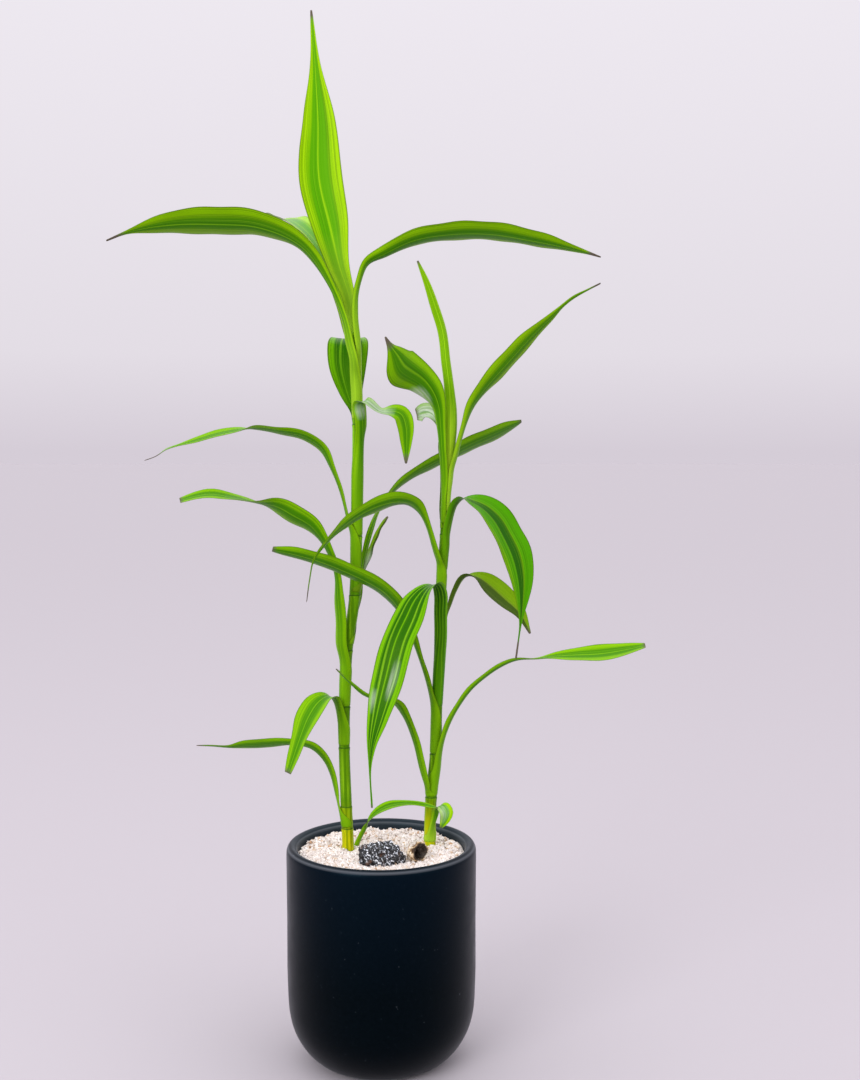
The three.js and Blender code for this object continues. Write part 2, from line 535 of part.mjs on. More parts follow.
    [37, 3.5, 402, 7.5, 110, 0.4, 0.8, 0.1],
    [35.5, 1, 414, 11, 85, 0.3, 0.8, 0.2],
    [31.5, -3, 422.5, 17, 65, 0, 0.8, 0.4],
    [25.5, -8, 429.5, 20, 55, -0.4, 0.8, 0.4],
    [19, -14, 433.5, 24, 50, -0.5, 0.8, 0.3],
    [14, -20, 437, 25, 45, -0.6, 0.8, 0.2],
    [11, -24, 442.5, 16, 45, -0.6, 0.8, 0.2],
    [7, -28, 448.5, 4.5, 30, -0.6, 0.8, 0.2],
    [4, -30, 454, 1.2, 20, -0.6, 0.8, 0.2],
  ] },
  leaf_right_11: { cane: 'right', from: 353.5, to: 358, side: 345, wrap: 150, stations: [
    [45, 9.6, 364, 6, 75, -0.85, 0.5, 0],
    [46, 9.2, 374.5, 6, 70, -0.8, 0.6, 0],
    [48, 9, 383.5, 6.5, 95, -0.8, 0.5, 0.2],
    [50.5, 9, 393, 7.5, 110, -0.8, 0.3, 0.4],
    [53.5, 8.5, 403.5, 8, 105, -0.7, 0.4, 0.5],
    [57, 7.5, 413, 10, 90, -0.6, 0.5, 0.6],
    [64, 6, 423.5, 13, 70, -0.5, 0.6, 0.6],
    [72.5, 3, 433.5, 14.5, 60, -0.4, 0.7, 0.6],
    [81.5, 1, 443.5, 14.8, 55, -0.4, 0.7, 0.6],
    [90, -1, 453, 13, 50, -0.4, 0.7, 0.6],
    [98.5, -3, 461.5, 9.5, 45, -0.4, 0.7, 0.6],
    [105.5, -4, 468, 6, 45, -0.4, 0.7, 0.6],
    [111.5, -5, 474, 3, 40, -0.4, 0.7, 0.6],
    [119, -5.5, 480, 2.8, 40, -0.4, 0.7, 0.6],
    [127.5, -6, 484.5, 1.4, 20, -0.4, 0.7, 0.6],
    [135.5, -6, 488.5, 1.2, 20, -0.4, 0.7, 0.6],
  ] },
  leaf_right_12: { cane: 'right', stations: [
    [41.3, 8.95, 363.6, 13.3, 250, 0, 1, 0],
    [41.4, 8.95, 368, 13.3, 250, 0, 1, 0],
    [42.5, 9.2, 374, 12, 250, 0, 1, 0],
    [43.5, 8.8, 384, 13.5, 250, 0, 1, 0],
    [44, 8, 392.5, 16.5, 250, 0, 1, 0],
    [44, 7.2, 402.5, 19.2, 250, 0, 1, 0],
    [44, 7.2, 411, 18.5, 250, 0, 1, 0],
    [43.5, 7.8, 419.5, 14.5, 240, 0.1, 1, 0],
    [42.5, 8.3, 428.5, 11.5, 220, 0.1, 1, 0],
    [40.5, 9, 441, 10, 200, 0.1, 1, 0],
    [37, 9.5, 461.5, 8.5, 175, 0.1, 1, 0],
    [33.5, 9, 476, 7.4, 150, 0.1, 1, 0],
    [28.5, 8, 491, 4.5, 110, 0.1, 1, 0],
    [23, 7, 504, 1.2, 30, 0.1, 1, 0],
  ] },
};

const youngLeaves = ['leaf_left_13', 'leaf_right_01', 'leaf_right_12'];

// Control rows of a leaf: three along the sheath, then its own stations.
function leafControls(leaf) {
  const cane = CANES[leaf.cane];
  const out = [Math.cos(rad(leaf.side)), Math.sin(rad(leaf.side)), 0];
  const rows = [];
  const sheath = [[0, leaf.wrap, 0], [0.6, leaf.wrap, SHEATH_LEAN], [1, SHEATH_MOUTH, MOUTH_LEAN]];
  for (const [along, wrap, lean] of leaf.wrap ? sheath : []) {
    const z = leaf.from + (leaf.to - leaf.from) * along;
    const [x, y, radius] = caneAt(cane, z);
    const r = radius + SHEATH_GAP + lean;
    rows.push([x + out[0] * r, y + out[1] * r, z, r * rad(wrap), wrap, -out[0], -out[1], 0]);
  }
  return rows.concat(leaf.stations);
}

// Finer rows between the controls, each with a square frame of its own: a span of the
// blade longer than LONG_SPAN gets a row halfway along.
function leafRows(controls) {
  const knots = chordKnots(controls);
  const curve = smoothRows(knots, controls);
  const rows = [];
  for (let i = 0; i < controls.length - 1; i++) {
    const long = i > 1 && knots[i + 1] - knots[i] > LONG_SPAN;
    rows.push(controls[i]);
    if (long) rows.push(curve(i, 0.5));
  }
  rows.push(controls[controls.length - 1]);
  return rows.map((row, i) => {
    const a = rows[Math.max(i - 1, 0)];
    const b = rows[Math.min(i + 1, rows.length - 1)];
    const t = new THREE.Vector3(b[0] - a[0], b[1] - a[1], b[2] - a[2]).normalize();
    const n = new THREE.Vector3(row[5], row[6], row[7]);
    n.addScaledVector(t, -n.dot(t)).normalize();
    return {
      p: new THREE.Vector3(row[0], row[1], row[2]),
      t,
      n,
      s: new THREE.Vector3().crossVectors(t, n),
      width: Math.max(row[3], TIP_WIDTH),
      fold: rad(Math.max(row[4], TIP_FOLD)),
    };
  });
}

function makeLeaf(name, leaf) {
  const rows = leafRows(leafControls(leaf));
  const columns = LEAF_COLUMNS + 1;
  const positions = [];
  const triangles = [];
  for (const side of [-1, 1]) {
    for (const row of rows) {
      const radius = row.width / row.fold;
      for (let j = 0; j < columns; j++) {
        const angle = row.fold * (j / LEAF_COLUMNS - 0.5);
        const normal = row.n.clone().multiplyScalar(Math.cos(angle))
          .addScaledVector(row.s, -Math.sin(angle));
        const point = row.p.clone()
          .addScaledVector(row.s, radius * Math.sin(angle))
          .addScaledVector(row.n, radius * (1 - Math.cos(angle)))
          .addScaledVector(normal, (side * LEAF_THICKNESS) / 2);
        positions.push(point.x, point.y, point.z);
      }
    }
  }
  const count = rows.length;
  const at = (side, i, j) => side * count * columns + i * columns + j;
  const quad = (a, b, c, d) => triangles.push(a, b, c, a, c, d);
  for (let i = 0; i < count - 1; i++) {
    for (let j = 0; j < columns - 1; j++) {
      quad(at(0, i, j), at(0, i + 1, j), at(0, i + 1, j + 1), at(0, i, j + 1));
      const [a, b, c, d] = [at(1, i, j), at(1, i + 1, j), at(1, i + 1, j + 1), at(1, i, j + 1)];
      triangles.push(a, c, b, a, d, c);
    }
    quad(at(0, i, 0), at(1, i, 0), at(1, i + 1, 0), at(0, i + 1, 0));
    const e = columns - 1;
    quad(at(0, i, e), at(0, i + 1, e), at(1, i + 1, e), at(1, i, e));
  }
  for (let j = 0; j < columns - 1; j++) {
    quad(at(0, 0, j), at(0, 0, j + 1), at(1, 0, j + 1), at(1, 0, j));
    const e = count - 1;
    quad(at(0, e, j), at(1, e, j), at(1, e, j + 1), at(0, e, j + 1));
  }
  const material = youngLeaves.includes(name) ? youngLeafPaint : leafPaint;
  return closedMesh(name, positions, triangles, material);
}

// ---------------------------------------------------------------- gravel
// Height of the heaped surface: low waves that fall away at the wall, and one level
// oval seat under the two things that lie on it.
function gravelHeight(x, y) {
  const heap = 0.9 * Math.sin(x * 0.21 + 1) * Math.cos(y * 0.18)
    + 0.7 * Math.sin(x * 0.47 - y * 0.39) + 0.5 * Math.cos(y * 0.61 + x * 0.1);
  const fall = -EDGE_FALL * Math.pow(Math.hypot(x, y) / (POT_RADIUS - POT_WALL), 6);
  const seatX = (CHARCOAL.x + BARK.x) / 2 - 2;
  const seatY = (CHARCOAL.y + BARK.y) / 2 - 1;
  const outside = (Math.hypot((x - seatX) / 1.7, y - seatY) - 14) / 5;
  const waves = Math.min(1, Math.max(0, outside));
  return GRAVEL_TOP - SEAT_DEPTH * (1 - waves) + heap * waves + fall;
}

function makeGravel() {
  const inner = POT_RADIUS - POT_WALL;
  const gap = GRAVEL_GAP;
  const sides = GRAVEL_SIDES;
  const lower = [
    [inner - 0.5 - gap, 46], [inner - 2 - gap, 32.5], [inner - 8 - gap, 20.8],
    [inner - 18 - gap, POT_FLOOR + 2.8], [inner - 26 - gap, POT_FLOOR + gap],
  ];
  const positions = [0, 0, gravelHeight(0, 0)];
  const surface = GRAVEL_RINGS.concat(inner - gap).map((r) => [r, null]);
  const rings = surface.concat(lower);
  for (const [r, z] of rings) {
    for (let k = 0; k < sides; k++) {
      const a = (2 * Math.PI * k) / sides;
      const x = r * Math.cos(a);
      const y = r * Math.sin(a);
      positions.push(x, y, z ?? gravelHeight(x, y));
    }
  }
  positions.push(0, 0, POT_FLOOR + gap);
  const bottom = positions.length / 3 - 1;
  const at = (ring, k) => 1 + ring * sides + (k % sides);
  const triangles = [];
  for (let k = 0; k < sides; k++) {
    triangles.push(0, at(0, k), at(0, k + 1));
    triangles.push(bottom, at(rings.length - 1, k + 1), at(rings.length - 1, k));
    for (let ring = 0; ring < rings.length - 1; ring++) {
      triangles.push(at(ring, k), at(ring + 1, k), at(ring + 1, k + 1));
      triangles.push(at(ring, k), at(ring + 1, k + 1), at(ring, k + 1));
    }
  }
  const bed = closedMesh('bed', positions, triangles, gravelPaint);
  let solid = toSolid(bed.geometry);
  const depth = POT_HEIGHT - HOLE_BOTTOM;
  for (const cane of Object.values(CANES)) {
    const hole = new THREE.CylinderGeometry(HOLE_RADIUS, HOLE_RADIUS, depth, CANE_SIDES);
    hole.rotateX(Math.PI / 2);
    hole.translate(cane.path[1][0], cane.path[1][1], HOLE_BOTTOM + depth / 2);
    solid = solid.subtract(toSolid(hole));
  }
  return fromSolid('gravel', solid, gravelPaint);
}

// ---------------------------------------------------------------- charcoal
// A broken lump: a bumpy sphere cut flat by planes, each given as a direction and its
// reach from the centre. The last one is the underside.
const BREAKS = [
  [0.9, 0.2, 0.4, 0.8], [-0.8, -0.3, 0.5, 0.85], [0.1, -0.9, 0.4, 0.72],
  [-0.3, 0.8, 0.5, 0.75], [0.4, -0.3, 0.85, 0.7], [-0.5, 0.1, 0.85, 0.82],
  [0, 0, -1, 0.55],
];

function makeCharcoal() {
  const geometry = new THREE.IcosahedronGeometry(1, 3);
  geometry.deleteAttribute('normal');
  geometry.deleteAttribute('uv');
  const lump = mergeVertices(geometry, 1e-4);
  const spots = lump.attributes.position;
  const [w, d, h] = CHARCOAL.size;
  const underside = BREAKS[BREAKS.length - 1][3];
  for (let i = 0; i < spots.count; i++) {
    const v = new THREE.Vector3().fromBufferAttribute(spots, i);
    const bump = 1 + 0.09 * Math.sin(v.x * 9 + v.z * 4) * Math.cos(v.y * 8 - v.x * 3);
    v.multiplyScalar(bump);
    for (const [a, b, c, reach] of BREAKS) {
      const side = new THREE.Vector3(a, b, c).normalize();
      const over = v.dot(side) - reach;
      if (over > 0) v.addScaledVector(side, -over);
    }
    v.set((v.x * w) / 1.8, (v.y * d) / 1.6, ((v.z + underside) * h) / 1.35);
    spots.setXYZ(i, CHARCOAL.x + v.x, CHARCOAL.y + v.y, CHARCOAL.z + v.z);
  }
  lump.computeVertexNormals();
  const mesh = new THREE.Mesh(lump, charcoalPaint);
  mesh.name = 'charcoal';
  return mesh;
}

// ---------------------------------------------------------------- bark
// A strip curled nearly into a ring, lying on its side with its hollow open at both ends.
function makeBark() {
  const outer = [];
  const innerSide = [];
  for (let i = 0; i <= BARK.steps; i++) {
    const a = rad(BARK.opening + (BARK.curl * i) / BARK.steps);
    const r = BARK.radius * (1 - 0.13 * (i / BARK.steps) + 0.04 * Math.sin(i * 1.9));
    const inside = r - BARK.wall;
    outer.push(new THREE.Vector2(r * Math.cos(a), r * Math.sin(a)));
    innerSide.push(new THREE.Vector2(inside * Math.cos(a), inside * Math.sin(a)));
  }
  const shape = new THREE.Shape(outer.concat(innerSide.reverse()));
  const geometry = new THREE.ExtrudeGeometry(shape, {
    depth: BARK.length, steps: 3, bevelEnabled: false,
  });
  geometry.translate(0, 0, -BARK.length / 2);
  geometry.rotateX(Math.PI / 2);
  geometry.rotateZ(rad(BARK.turn));
  geometry.deleteAttribute('normal');
  geometry.deleteAttribute('uv');
  const curl = mergeVertices(geometry, 1e-4);
  curl.computeVertexNormals();
  const mesh = new THREE.Mesh(curl, barkPaint);
  mesh.name = 'bark_curl';
  mesh.position.set(BARK.x, BARK.y, BARK.z + BARK.radius);
  return mesh;
}

// ---------------------------------------------------------------- assembly
const plant = new THREE.Group();
plant.name = 'lucky_bamboo';

const pot = new THREE.Mesh(turned(potSection(), POT_SIDES), potPaint);
pot.name = 'pot';
plant.add(pot);
plant.add(makeGravel());
plant.add(makeCharcoal());
plant.add(makeBark());
plant.add(makeCane('cane_left', CANES.left));
plant.add(makeCane('cane_right', CANES.right));
for (const [name, leaf] of Object.entries(LEAVES)) plant.add(makeLeaf(name, leaf));

export default plant;
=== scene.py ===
# %% [markdown]
# # A lucky bamboo in its pot
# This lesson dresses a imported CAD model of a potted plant: two slim canes that stand
# in pale gravel in a dark, round-bottomed pot, with twenty-five long arching leaves,
# a lump of charcoal and a curl of bark on the stones.
# The CAD model fixes every place and size. It is loaded first and stays as it is.
# Each finer piece is then modelled over its CAD node, and the node is hidden. Only
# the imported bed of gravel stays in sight, under its loose grains.

# %% Open the frame and measure it
import math
import random

import bpy
import numpy as np
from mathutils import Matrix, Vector


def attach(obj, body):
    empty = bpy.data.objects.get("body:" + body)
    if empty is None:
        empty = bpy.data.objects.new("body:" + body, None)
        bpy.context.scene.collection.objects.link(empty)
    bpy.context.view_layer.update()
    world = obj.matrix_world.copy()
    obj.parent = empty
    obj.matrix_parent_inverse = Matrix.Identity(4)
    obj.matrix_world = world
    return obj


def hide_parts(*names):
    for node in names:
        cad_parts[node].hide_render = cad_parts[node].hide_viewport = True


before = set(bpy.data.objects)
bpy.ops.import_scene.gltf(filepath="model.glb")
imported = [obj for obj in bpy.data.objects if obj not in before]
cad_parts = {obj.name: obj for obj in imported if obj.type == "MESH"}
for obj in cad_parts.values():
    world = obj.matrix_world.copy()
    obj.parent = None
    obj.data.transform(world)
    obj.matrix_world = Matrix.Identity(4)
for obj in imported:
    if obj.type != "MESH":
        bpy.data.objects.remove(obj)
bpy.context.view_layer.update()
MM = 0.001
print("CAD nodes:", len(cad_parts))

# %% [markdown]
# ## The camera
# A portrait lens at about the height of the lower leaves looks slightly down at the
# plant from 84 cm away. It is made first, so that any render has it.

# %% Place the camera
CAMERA_PLACE = (30.8 * MM, -842 * MM, 386 * MM)
CAMERA_DIP = 0.066
FOCAL_LENGTH = 45
SENSOR = 36

camera_data = bpy.data.cameras.new("plant_camera")
camera_data.lens = FOCAL_LENGTH
camera_data.sensor_width = SENSOR
camera = bpy.data.objects.new("plant_camera", camera_data)
camera.location = CAMERA_PLACE
camera.rotation_euler = (math.pi / 2 - CAMERA_DIP, 0, 0)
bpy.context.scene.collection.objects.link(camera)
bpy.context.scene.camera = camera
print("camera looks down by", round(math.degrees(CAMERA_DIP), 1), "degrees")

# %% [markdown]
# ## Helpers for modelling
# Operators act on whatever is selected, so each step starts by clearing the
# selection. Small helpers pick a piece, apply a modifier, store numbers in a mesh for
# its material to read, end a shape, and hand a finished piece to the frame: the piece
# rides on the only body, stands for its CAD node, and takes its finish.

# %% Selection and hand-over helpers
def deselect_all():
    if bpy.context.object and bpy.context.object.mode != "OBJECT":
        bpy.ops.object.mode_set(mode="OBJECT")
    bpy.ops.object.select_all(action="DESELECT")


def pick(piece):
    deselect_all()
    piece.select_set(True)
    bpy.context.view_layer.objects.active = piece


def finish_shape(piece, name):
    """Names a piece, moves its place into its mesh, and turns its faces outwards."""
    pick(piece)
    piece.name = name
    piece.data.name = name
    bpy.ops.object.transform_apply(location=True, rotation=True, scale=True)
    bpy.ops.object.mode_set(mode="EDIT")
    bpy.ops.mesh.select_all(action="SELECT")
    bpy.ops.mesh.normals_make_consistent(inside=False)
    bpy.ops.object.mode_set(mode="OBJECT")
    bpy.ops.object.shade_smooth()
    return piece


def hand_over(piece, material, slot, *nodes):
    piece.data.materials.clear()
    piece.data.materials.append(material)
    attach(piece, "root")
    if nodes:
        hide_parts(*nodes)
    triangles = sum(len(face.vertices) - 2 for face in piece.data.polygons)
    print(piece.name, "-", triangles, "triangles")


def store(piece, name, values):
    """Stores one number per point in the mesh, for a material to read."""
    layer = piece.data.attributes.new(name, "FLOAT", "POINT")
    layer.data.foreach_set("value", values)


def add_modifier(piece, kind, **settings):
    """Adds a modifier, sets it and applies it."""
    pick(piece)
    modifier = piece.modifiers.new(kind.lower(), kind)
    for key, value in settings.items():
        setattr(modifier, key, value)
    bpy.ops.object.modifier_apply(modifier=modifier.name)

# %% [markdown]
# ## Helpers for materials
# Every finish is a Principled shader with a few nodes in front of it. A numbers-only
# setting goes straight on the shader's own socket. What varies over the surface,
# such as a colour or a bump, comes through nodes.

# %% Node helpers
def shader_of(material):
    return material.node_tree.nodes["Principled BSDF"]


def new_material(name, **settings):
    """A Principled material. Spaces in a socket's name are written as underscores."""
    material = bpy.data.materials.new(name)
    material.use_nodes = True
    for socket, value in settings.items():
        shader_of(material).inputs[socket.replace("_", " ")].default_value = value
    return material


def add_node(material, kind, **settings):
    node = material.node_tree.nodes.new("ShaderNode" + kind)
    for key, value in settings.items():
        if key in node.inputs:
            node.inputs[key].default_value = value
        else:
            setattr(node, key, value)
    return node


def join(material, output, target):
    material.node_tree.links.new(output, target)


def feed(material, socket, output):
    """Links an output to one of the shader's own sockets."""
    join(material, output, shader_of(material).inputs[socket])


def plug(material, value, target):
    """Links a socket to a target, or sets a plain colour or number there."""
    if isinstance(value, bpy.types.NodeSocket):
        join(material, value, target)
    elif isinstance(value, tuple):
        target.default_value = (*value, 1)
    else:
        target.default_value = value

# %% [markdown]
# Patterns are built from a few kinds of node: where a point is, noise and stored marks
# there, and ramps and mixes that turn those numbers into colours. The one used most is
# a tint, which lays a colour over another as strongly as a ramp says.

# %% Pattern helpers
def coordinates(material, kind="Object"):
    return add_node(material, "TexCoord").outputs[kind]


def attribute(material, name):
    return add_node(material, "Attribute", attribute_name=name).outputs["Fac"]


def split(material, vector):
    """The X, Y and Z of a vector."""
    node = add_node(material, "SeparateXYZ")
    join(material, vector, node.inputs[0])
    return node.outputs


def share_between(material, value, low, high):
    """0 up to low, 1 from high on, and an even rise in between."""
    node = add_node(material, "MapRange", **{"From Min": low, "From Max": high})
    join(material, value, node.inputs["Value"])
    return node.outputs["Result"]


def math_node(material, operation, *values):
    """A maths node. Each value is a socket or a plain number."""
    node = add_node(material, "Math", operation=operation)
    for target, value in zip(node.inputs, values):
        plug(material, value, target)
    return node.outputs[0]


def noise(material, place, scale, detail, stretch=(1, 1, 1)):
    """Noise at a place, whose coordinates are stretched first."""
    mapping = add_node(material, "Mapping", Scale=stretch)
    join(material, place, mapping.inputs["Vector"])
    node = add_node(material, "TexNoise", Scale=scale, Detail=detail)
    join(material, mapping.outputs["Vector"], node.inputs["Vector"])
    return node.outputs["Fac"]


def ramp(material, source, stops):
    """A colour ramp fed by source. Stops are (place, colour or grey value)."""
    node = add_node(material, "ValToRGB")
    elements = node.color_ramp.elements
    while len(elements) < len(stops):
        elements.new(0.5)
    for element, (place, colour) in zip(elements, stops):
        element.position = place
        element.color = (*colour, 1) if isinstance(colour, tuple) else (colour, colour, colour, 1)
    join(material, source, node.inputs["Fac"])
    return node.outputs["Color"]


def mix(material, factor, under, over, blend="MIX"):
    """Mixes two colours. The factor and the colours are sockets or plain values."""
    node = add_node(material, "Mix", data_type="RGBA", blend_type=blend)
    # In a colour mix, input 0 is the factor, 6 and 7 are the colours, output 2 the result.
    for number, value in ((0, factor), (6, under), (7, over)):
        plug(material, value, node.inputs[number])
    return node.outputs[2]


def tint(material, source, stops, under, over, blend="MIX"):
    """Lays a colour over another, as strongly as a ramp of the source says."""
    return mix(material, ramp(material, source, stops), under, over, blend)


def bump(material, height, strength, distance):
    node = add_node(material, "Bump", Strength=strength, Distance=distance)
    join(material, height, node.inputs["Height"])
    feed(material, "Normal", node.outputs["Normal"])

# %% [markdown]
# ## Smooth curves through measured rows
# The pot's section, the canes and the leaves are all given by a few measured rows of
# numbers. Between two rows, each number follows a cubic curve whose slope at a row is
# the weighted average of the slopes on its two sides. That passes through every row
# and never overshoots by much, which a plain spline handle can't promise.

# %% Interpolate rows of numbers
def smooth_rows(knots, rows):
    """Returns a function (span, share of it) that gives the row there."""
    last = len(rows) - 1
    slopes = []
    for i, row in enumerate(rows):
        a, b = max(i - 1, 0), min(i + 1, last)
        span = knots[b] - knots[a]
        if i in (0, last):
            slopes.append([(q - p) / span for p, q in zip(rows[a], rows[b])])
            continue
        before = [(v - p) / (knots[i] - knots[a]) for p, v in zip(rows[a], row)]
        after = [(q - v) / (knots[b] - knots[i]) for v, q in zip(row, rows[b])]
        slopes.append([
            (s * (knots[b] - knots[i]) + t * (knots[i] - knots[a])) / span
            for s, t in zip(before, after)
        ])

    def at(i, u):
        h = knots[i + 1] - knots[i]
        u2, u3 = u * u, u * u * u
        return [
            (2 * u3 - 3 * u2 + 1) * p + (u3 - 2 * u2 + u) * h * mp
            + (3 * u2 - 2 * u3) * q + (u3 - u2) * h * mq
            for p, q, mp, mq in zip(rows[i], rows[i + 1], slopes[i], slopes[i + 1])
        ]

    return at


def chord_knots(points):
    """Distances along the straight pieces between points."""
    knots = [0.0]
    for p, q in zip(points, points[1:]):
        knots.append(knots[-1] + math.dist(p[:3], q[:3]))
    return knots

# %% [markdown]
# ## The pot
# The pot is a satin black ceramic cup: a small flat foot, a big round corner, a nearly
# straight wall and a soft round lip. It could be spun from its half section. Here it
# grows ring by ring instead: a filled circle is the foot, and each extrusion lifts a
# new ring and scales it, up the outside, over the lip and down the inside, until the
# last ring closes as the inner floor. That leaves one closed wall with no seam.

# %% Model the pot by extruding rings
POT_SIDES = 128
POT_SECTION = [
    (33, 0), (41, 2.2), (47.5, 7.5), (53, 15), (56.8, 23.5), (58.8, 33), (59.5, 44),
    (59.8, 90), (60, 124), (60, 132), (59.7, 135.4), (58.5, 137.3), (56.7, 138), (54.8, 137.3),
    (53.5, 135.4), (53, 132), (53, 124), (52.8, 90), (52.5, 44), (51, 32), (45, 20),
    (35, 11), (27, 9),
]
POT_STEPS = 3


def refined(points, steps):
    """The points with smooth steps between them."""
    curve = smooth_rows(chord_knots(points), points)
    fine = [curve(i, k / steps) for i in range(len(points) - 1) for k in range(steps)]
    return fine + [list(points[-1])]


def grow_rings(rings, sides):
    """Extrudes a filled circle through rings of (centre x, centre y, z, radius)."""
    x, y, z, radius = rings[0]
    deselect_all()
    bpy.ops.mesh.primitive_circle_add(
        vertices=sides, radius=radius, fill_type="NGON", location=(x, y, z))
    bpy.ops.object.mode_set(mode="EDIT")
    bpy.ops.mesh.select_all(action="SELECT")
    for (px, py, pz, pr), (qx, qy, qz, qr) in zip(rings, rings[1:]):
        step = (qx - px, qy - py, qz - pz)
        bpy.ops.mesh.extrude_region_move(TRANSFORM_OT_translate={"value": step})
        scale = (qr / pr, qr / pr, 1)
        bpy.ops.transform.resize(value=scale, center_override=(qx, qy, qz))
    bpy.ops.object.mode_set(mode="OBJECT")
    return bpy.context.object


pot_rings = [(0, 0, z * MM, r * MM) for r, z in refined(POT_SECTION, POT_STEPS)]
pot = finish_shape(grow_rings(pot_rings, POT_SIDES), "pot_shell")
print("pot rings:", len(pot_rings))

# %% [markdown]
# Its finish is satin black with a painted blue sheen, a reflection laid into the colour,
# that fades towards the foot. The inside is greyer, and the edges of the lip get a
# painted highlight; both are marked in the mesh first.
# Stoneware is never even, so a fine noise moves the colour and leaves a few pale
# specks, a broad one moves the roughness, and a still finer one gives the skin a bump
# of a fraction of a millimetre.

# %% Mark the inside and the painted lip highlight
# The inside of the pot is what lies within this radius and above this height.
INSIDE_RADIUS, INSIDE_HEIGHT = 56.7, 100
# Two edges of the lip, as (radius, height, reach), that get a painted highlight.
LIP_HIGHLIGHT_EDGES = [(59.0, 136.6, 1.2), (53.6, 136.0, 0.9)]


def mark_pot(pot):
    """Stores where the pot's inside is, and where its lip edges get a painted highlight."""
    inside, thin = [], []
    for vertex in pot.data.vertices:
        radius, height = vertex.co.xy.length / MM, vertex.co.z / MM
        inside.append(float(radius < INSIDE_RADIUS and height > INSIDE_HEIGHT))
        thin.append(max(0, *(1 - math.dist((radius, height), edge[:2]) / edge[2]
                             for edge in LIP_HIGHLIGHT_EDGES)))
    store(pot, "inside", inside)
    store(pot, "lip_highlight", thin)
    print("points inside:", int(sum(inside)))


mark_pot(pot)

# %% Finish the pot
POT_GLOSS = {
    "IOR": 1.15, "Specular_Tint": (0.30, 0.72, 1.0, 1),
    "Sheen_Weight": 0.08, "Sheen_Roughness": 0.35, "Sheen_Tint": (0.80, 0.84, 0.95, 1),
}
POT_BLACKS = [
    (0.35, (0.0002, 0.0005, 0.0009)), (0.66, (0.0005, 0.0010, 0.0018)),
    (0.72, (0.0020, 0.0035, 0.0050)), (0.78, (0.05, 0.055, 0.06)),
]
# Heights, in metres, between which the painted blue sheen comes in.
BLUE_SHEEN_FROM, BLUE_SHEEN_TO = 0.06, 0.135
# Painted reflection: a blue sheen added to the colour, strongest at the lip.
PAINTED_BLUE_SHEEN = (0.0004, 0.0020, 0.0050)
INSIDE_GREY = (0.018, 0.023, 0.026)
# Painted highlight: a pale grey added along the two edges of the lip.
PAINTED_LIP_HIGHLIGHT = (0.085, 0.09, 0.10)


def pot_finish():
    black = new_material("satin_black_ceramic", **POT_GLOSS)
    place = coordinates(black)
    sheen_near_lip = share_between(black, split(black, place)["Z"], BLUE_SHEEN_FROM, BLUE_SHEEN_TO)
    colour = ramp(black, noise(black, place, scale=420, detail=6), POT_BLACKS)
    # Painted reflection: the blue sheen fades from the lip towards the foot.
    colour = mix(black, sheen_near_lip, colour, PAINTED_BLUE_SHEEN, "ADD")
    colour = mix(black, attribute(black, "inside"), colour, INSIDE_GREY, "ADD")
    # Painted highlight on the lip's edges.
    colour = mix(black, attribute(black, "lip_highlight"), colour, PAINTED_LIP_HIGHLIGHT, "ADD")
    feed(black, "Base Color", colour)
    satin = ramp(black, noise(black, place, scale=90, detail=4), [(0.3, 0.30), (0.7, 0.38)])
    feed(black, "Roughness", satin)
    bump(black, noise(black, place, scale=900, detail=5), strength=0.15, distance=0.0002)
    return black


hand_over(pot, pot_finish(), "pot", "pot")

# %% [markdown]
# ## The canes
# A cane is a slim green rod, a little bent, with a raised ring wherever a leaf was
# attached. It is grown like the pot, from a filled circle, with a ring of points every
# few millimetres that follows the cane's bent centre line. At each leaf ring the
# radius swells and then pinches in.

# %% Model the canes
CANE_SIDES = 24
CANE_STEP = 5
TOP_SHARE = 0.5
TAPER_REACH = 16
# Centre points and radii along each cane, and the heights of its leaf rings.
CANES = {
    "left": {
        "path": [
            (-21.3, 4, 92, 3.8), (-21.4, 4, 133, 3.8), (-22.6, 4, 165, 3.6),
            (-23.6, 4, 198, 3.5), (-23.1, 4, 229, 3.5), (-21.4, 4, 261, 3.5),
            (-16.8, 4, 293, 3.5), (-15.6, 4, 318, 3.5), (-15, 4, 355, 3.5),
            (-14.4, 4, 386, 3.4), (-14.7, 4, 417, 3.25), (-16, 4, 448, 3.25),
            (-17, 4, 460, 3.25),
        ],
        "rings": [146, 160, 198, 224, 260, 295, 332, 402],
    },
    "right": {
        "path": [
            (30.6, 12, 92, 3.8), (30.6, 12, 132, 3.8), (31.4, 12, 162, 3.7),
            (34.2, 12, 192, 3.5), (35.5, 12, 229, 3.4), (37.6, 12, 266, 3.3),
            (37.9, 12, 298, 3.2), (39.8, 12, 330, 2.9), (40.9, 12, 355, 2.4),
            (41.3, 12, 367, 2),
        ],
        "rings": [164, 192, 228, 247, 265, 297, 333, 352],
    },
}
# Height from a leaf ring, and how far the cane's skin stands out there.
RING_PROFILE = [
    (-2.2, 0), (-1, 0.14), (-0.2, 0.24), (0.15, 0.2), (0.4, -0.06), (1.4, -0.04), (3, 0),
]


def cane_at(cane, z):
    """Centre and radius of a cane at height z, in mm."""
    path = cane["path"]
    i = 0
    while i < len(path) - 2 and path[i + 1][2] < z:
        i += 1
    curve = smooth_rows([point[2] for point in path], path)
    x, y, _, radius = curve(i, (z - path[i][2]) / (path[i + 1][2] - path[i][2]))
    return x, y, radius


def cane_levels(cane):
    """Heights and bulges along a cane, with the extra ones around each leaf ring."""
    foot, top = cane["path"][0][2], cane["path"][-1][2]
    levels = {}
    for ring in cane["rings"]:
        for offset, bulge in RING_PROFILE:
            levels[ring + offset] = bulge
    z = foot
    while z < top - CANE_STEP / 2:
        if all(abs(z - ring) > CANE_STEP for ring in cane["rings"]):
            levels[z] = 0
        z += CANE_STEP
    levels[top] = 0
    return sorted(level for level in levels.items() if level[0] <= top)


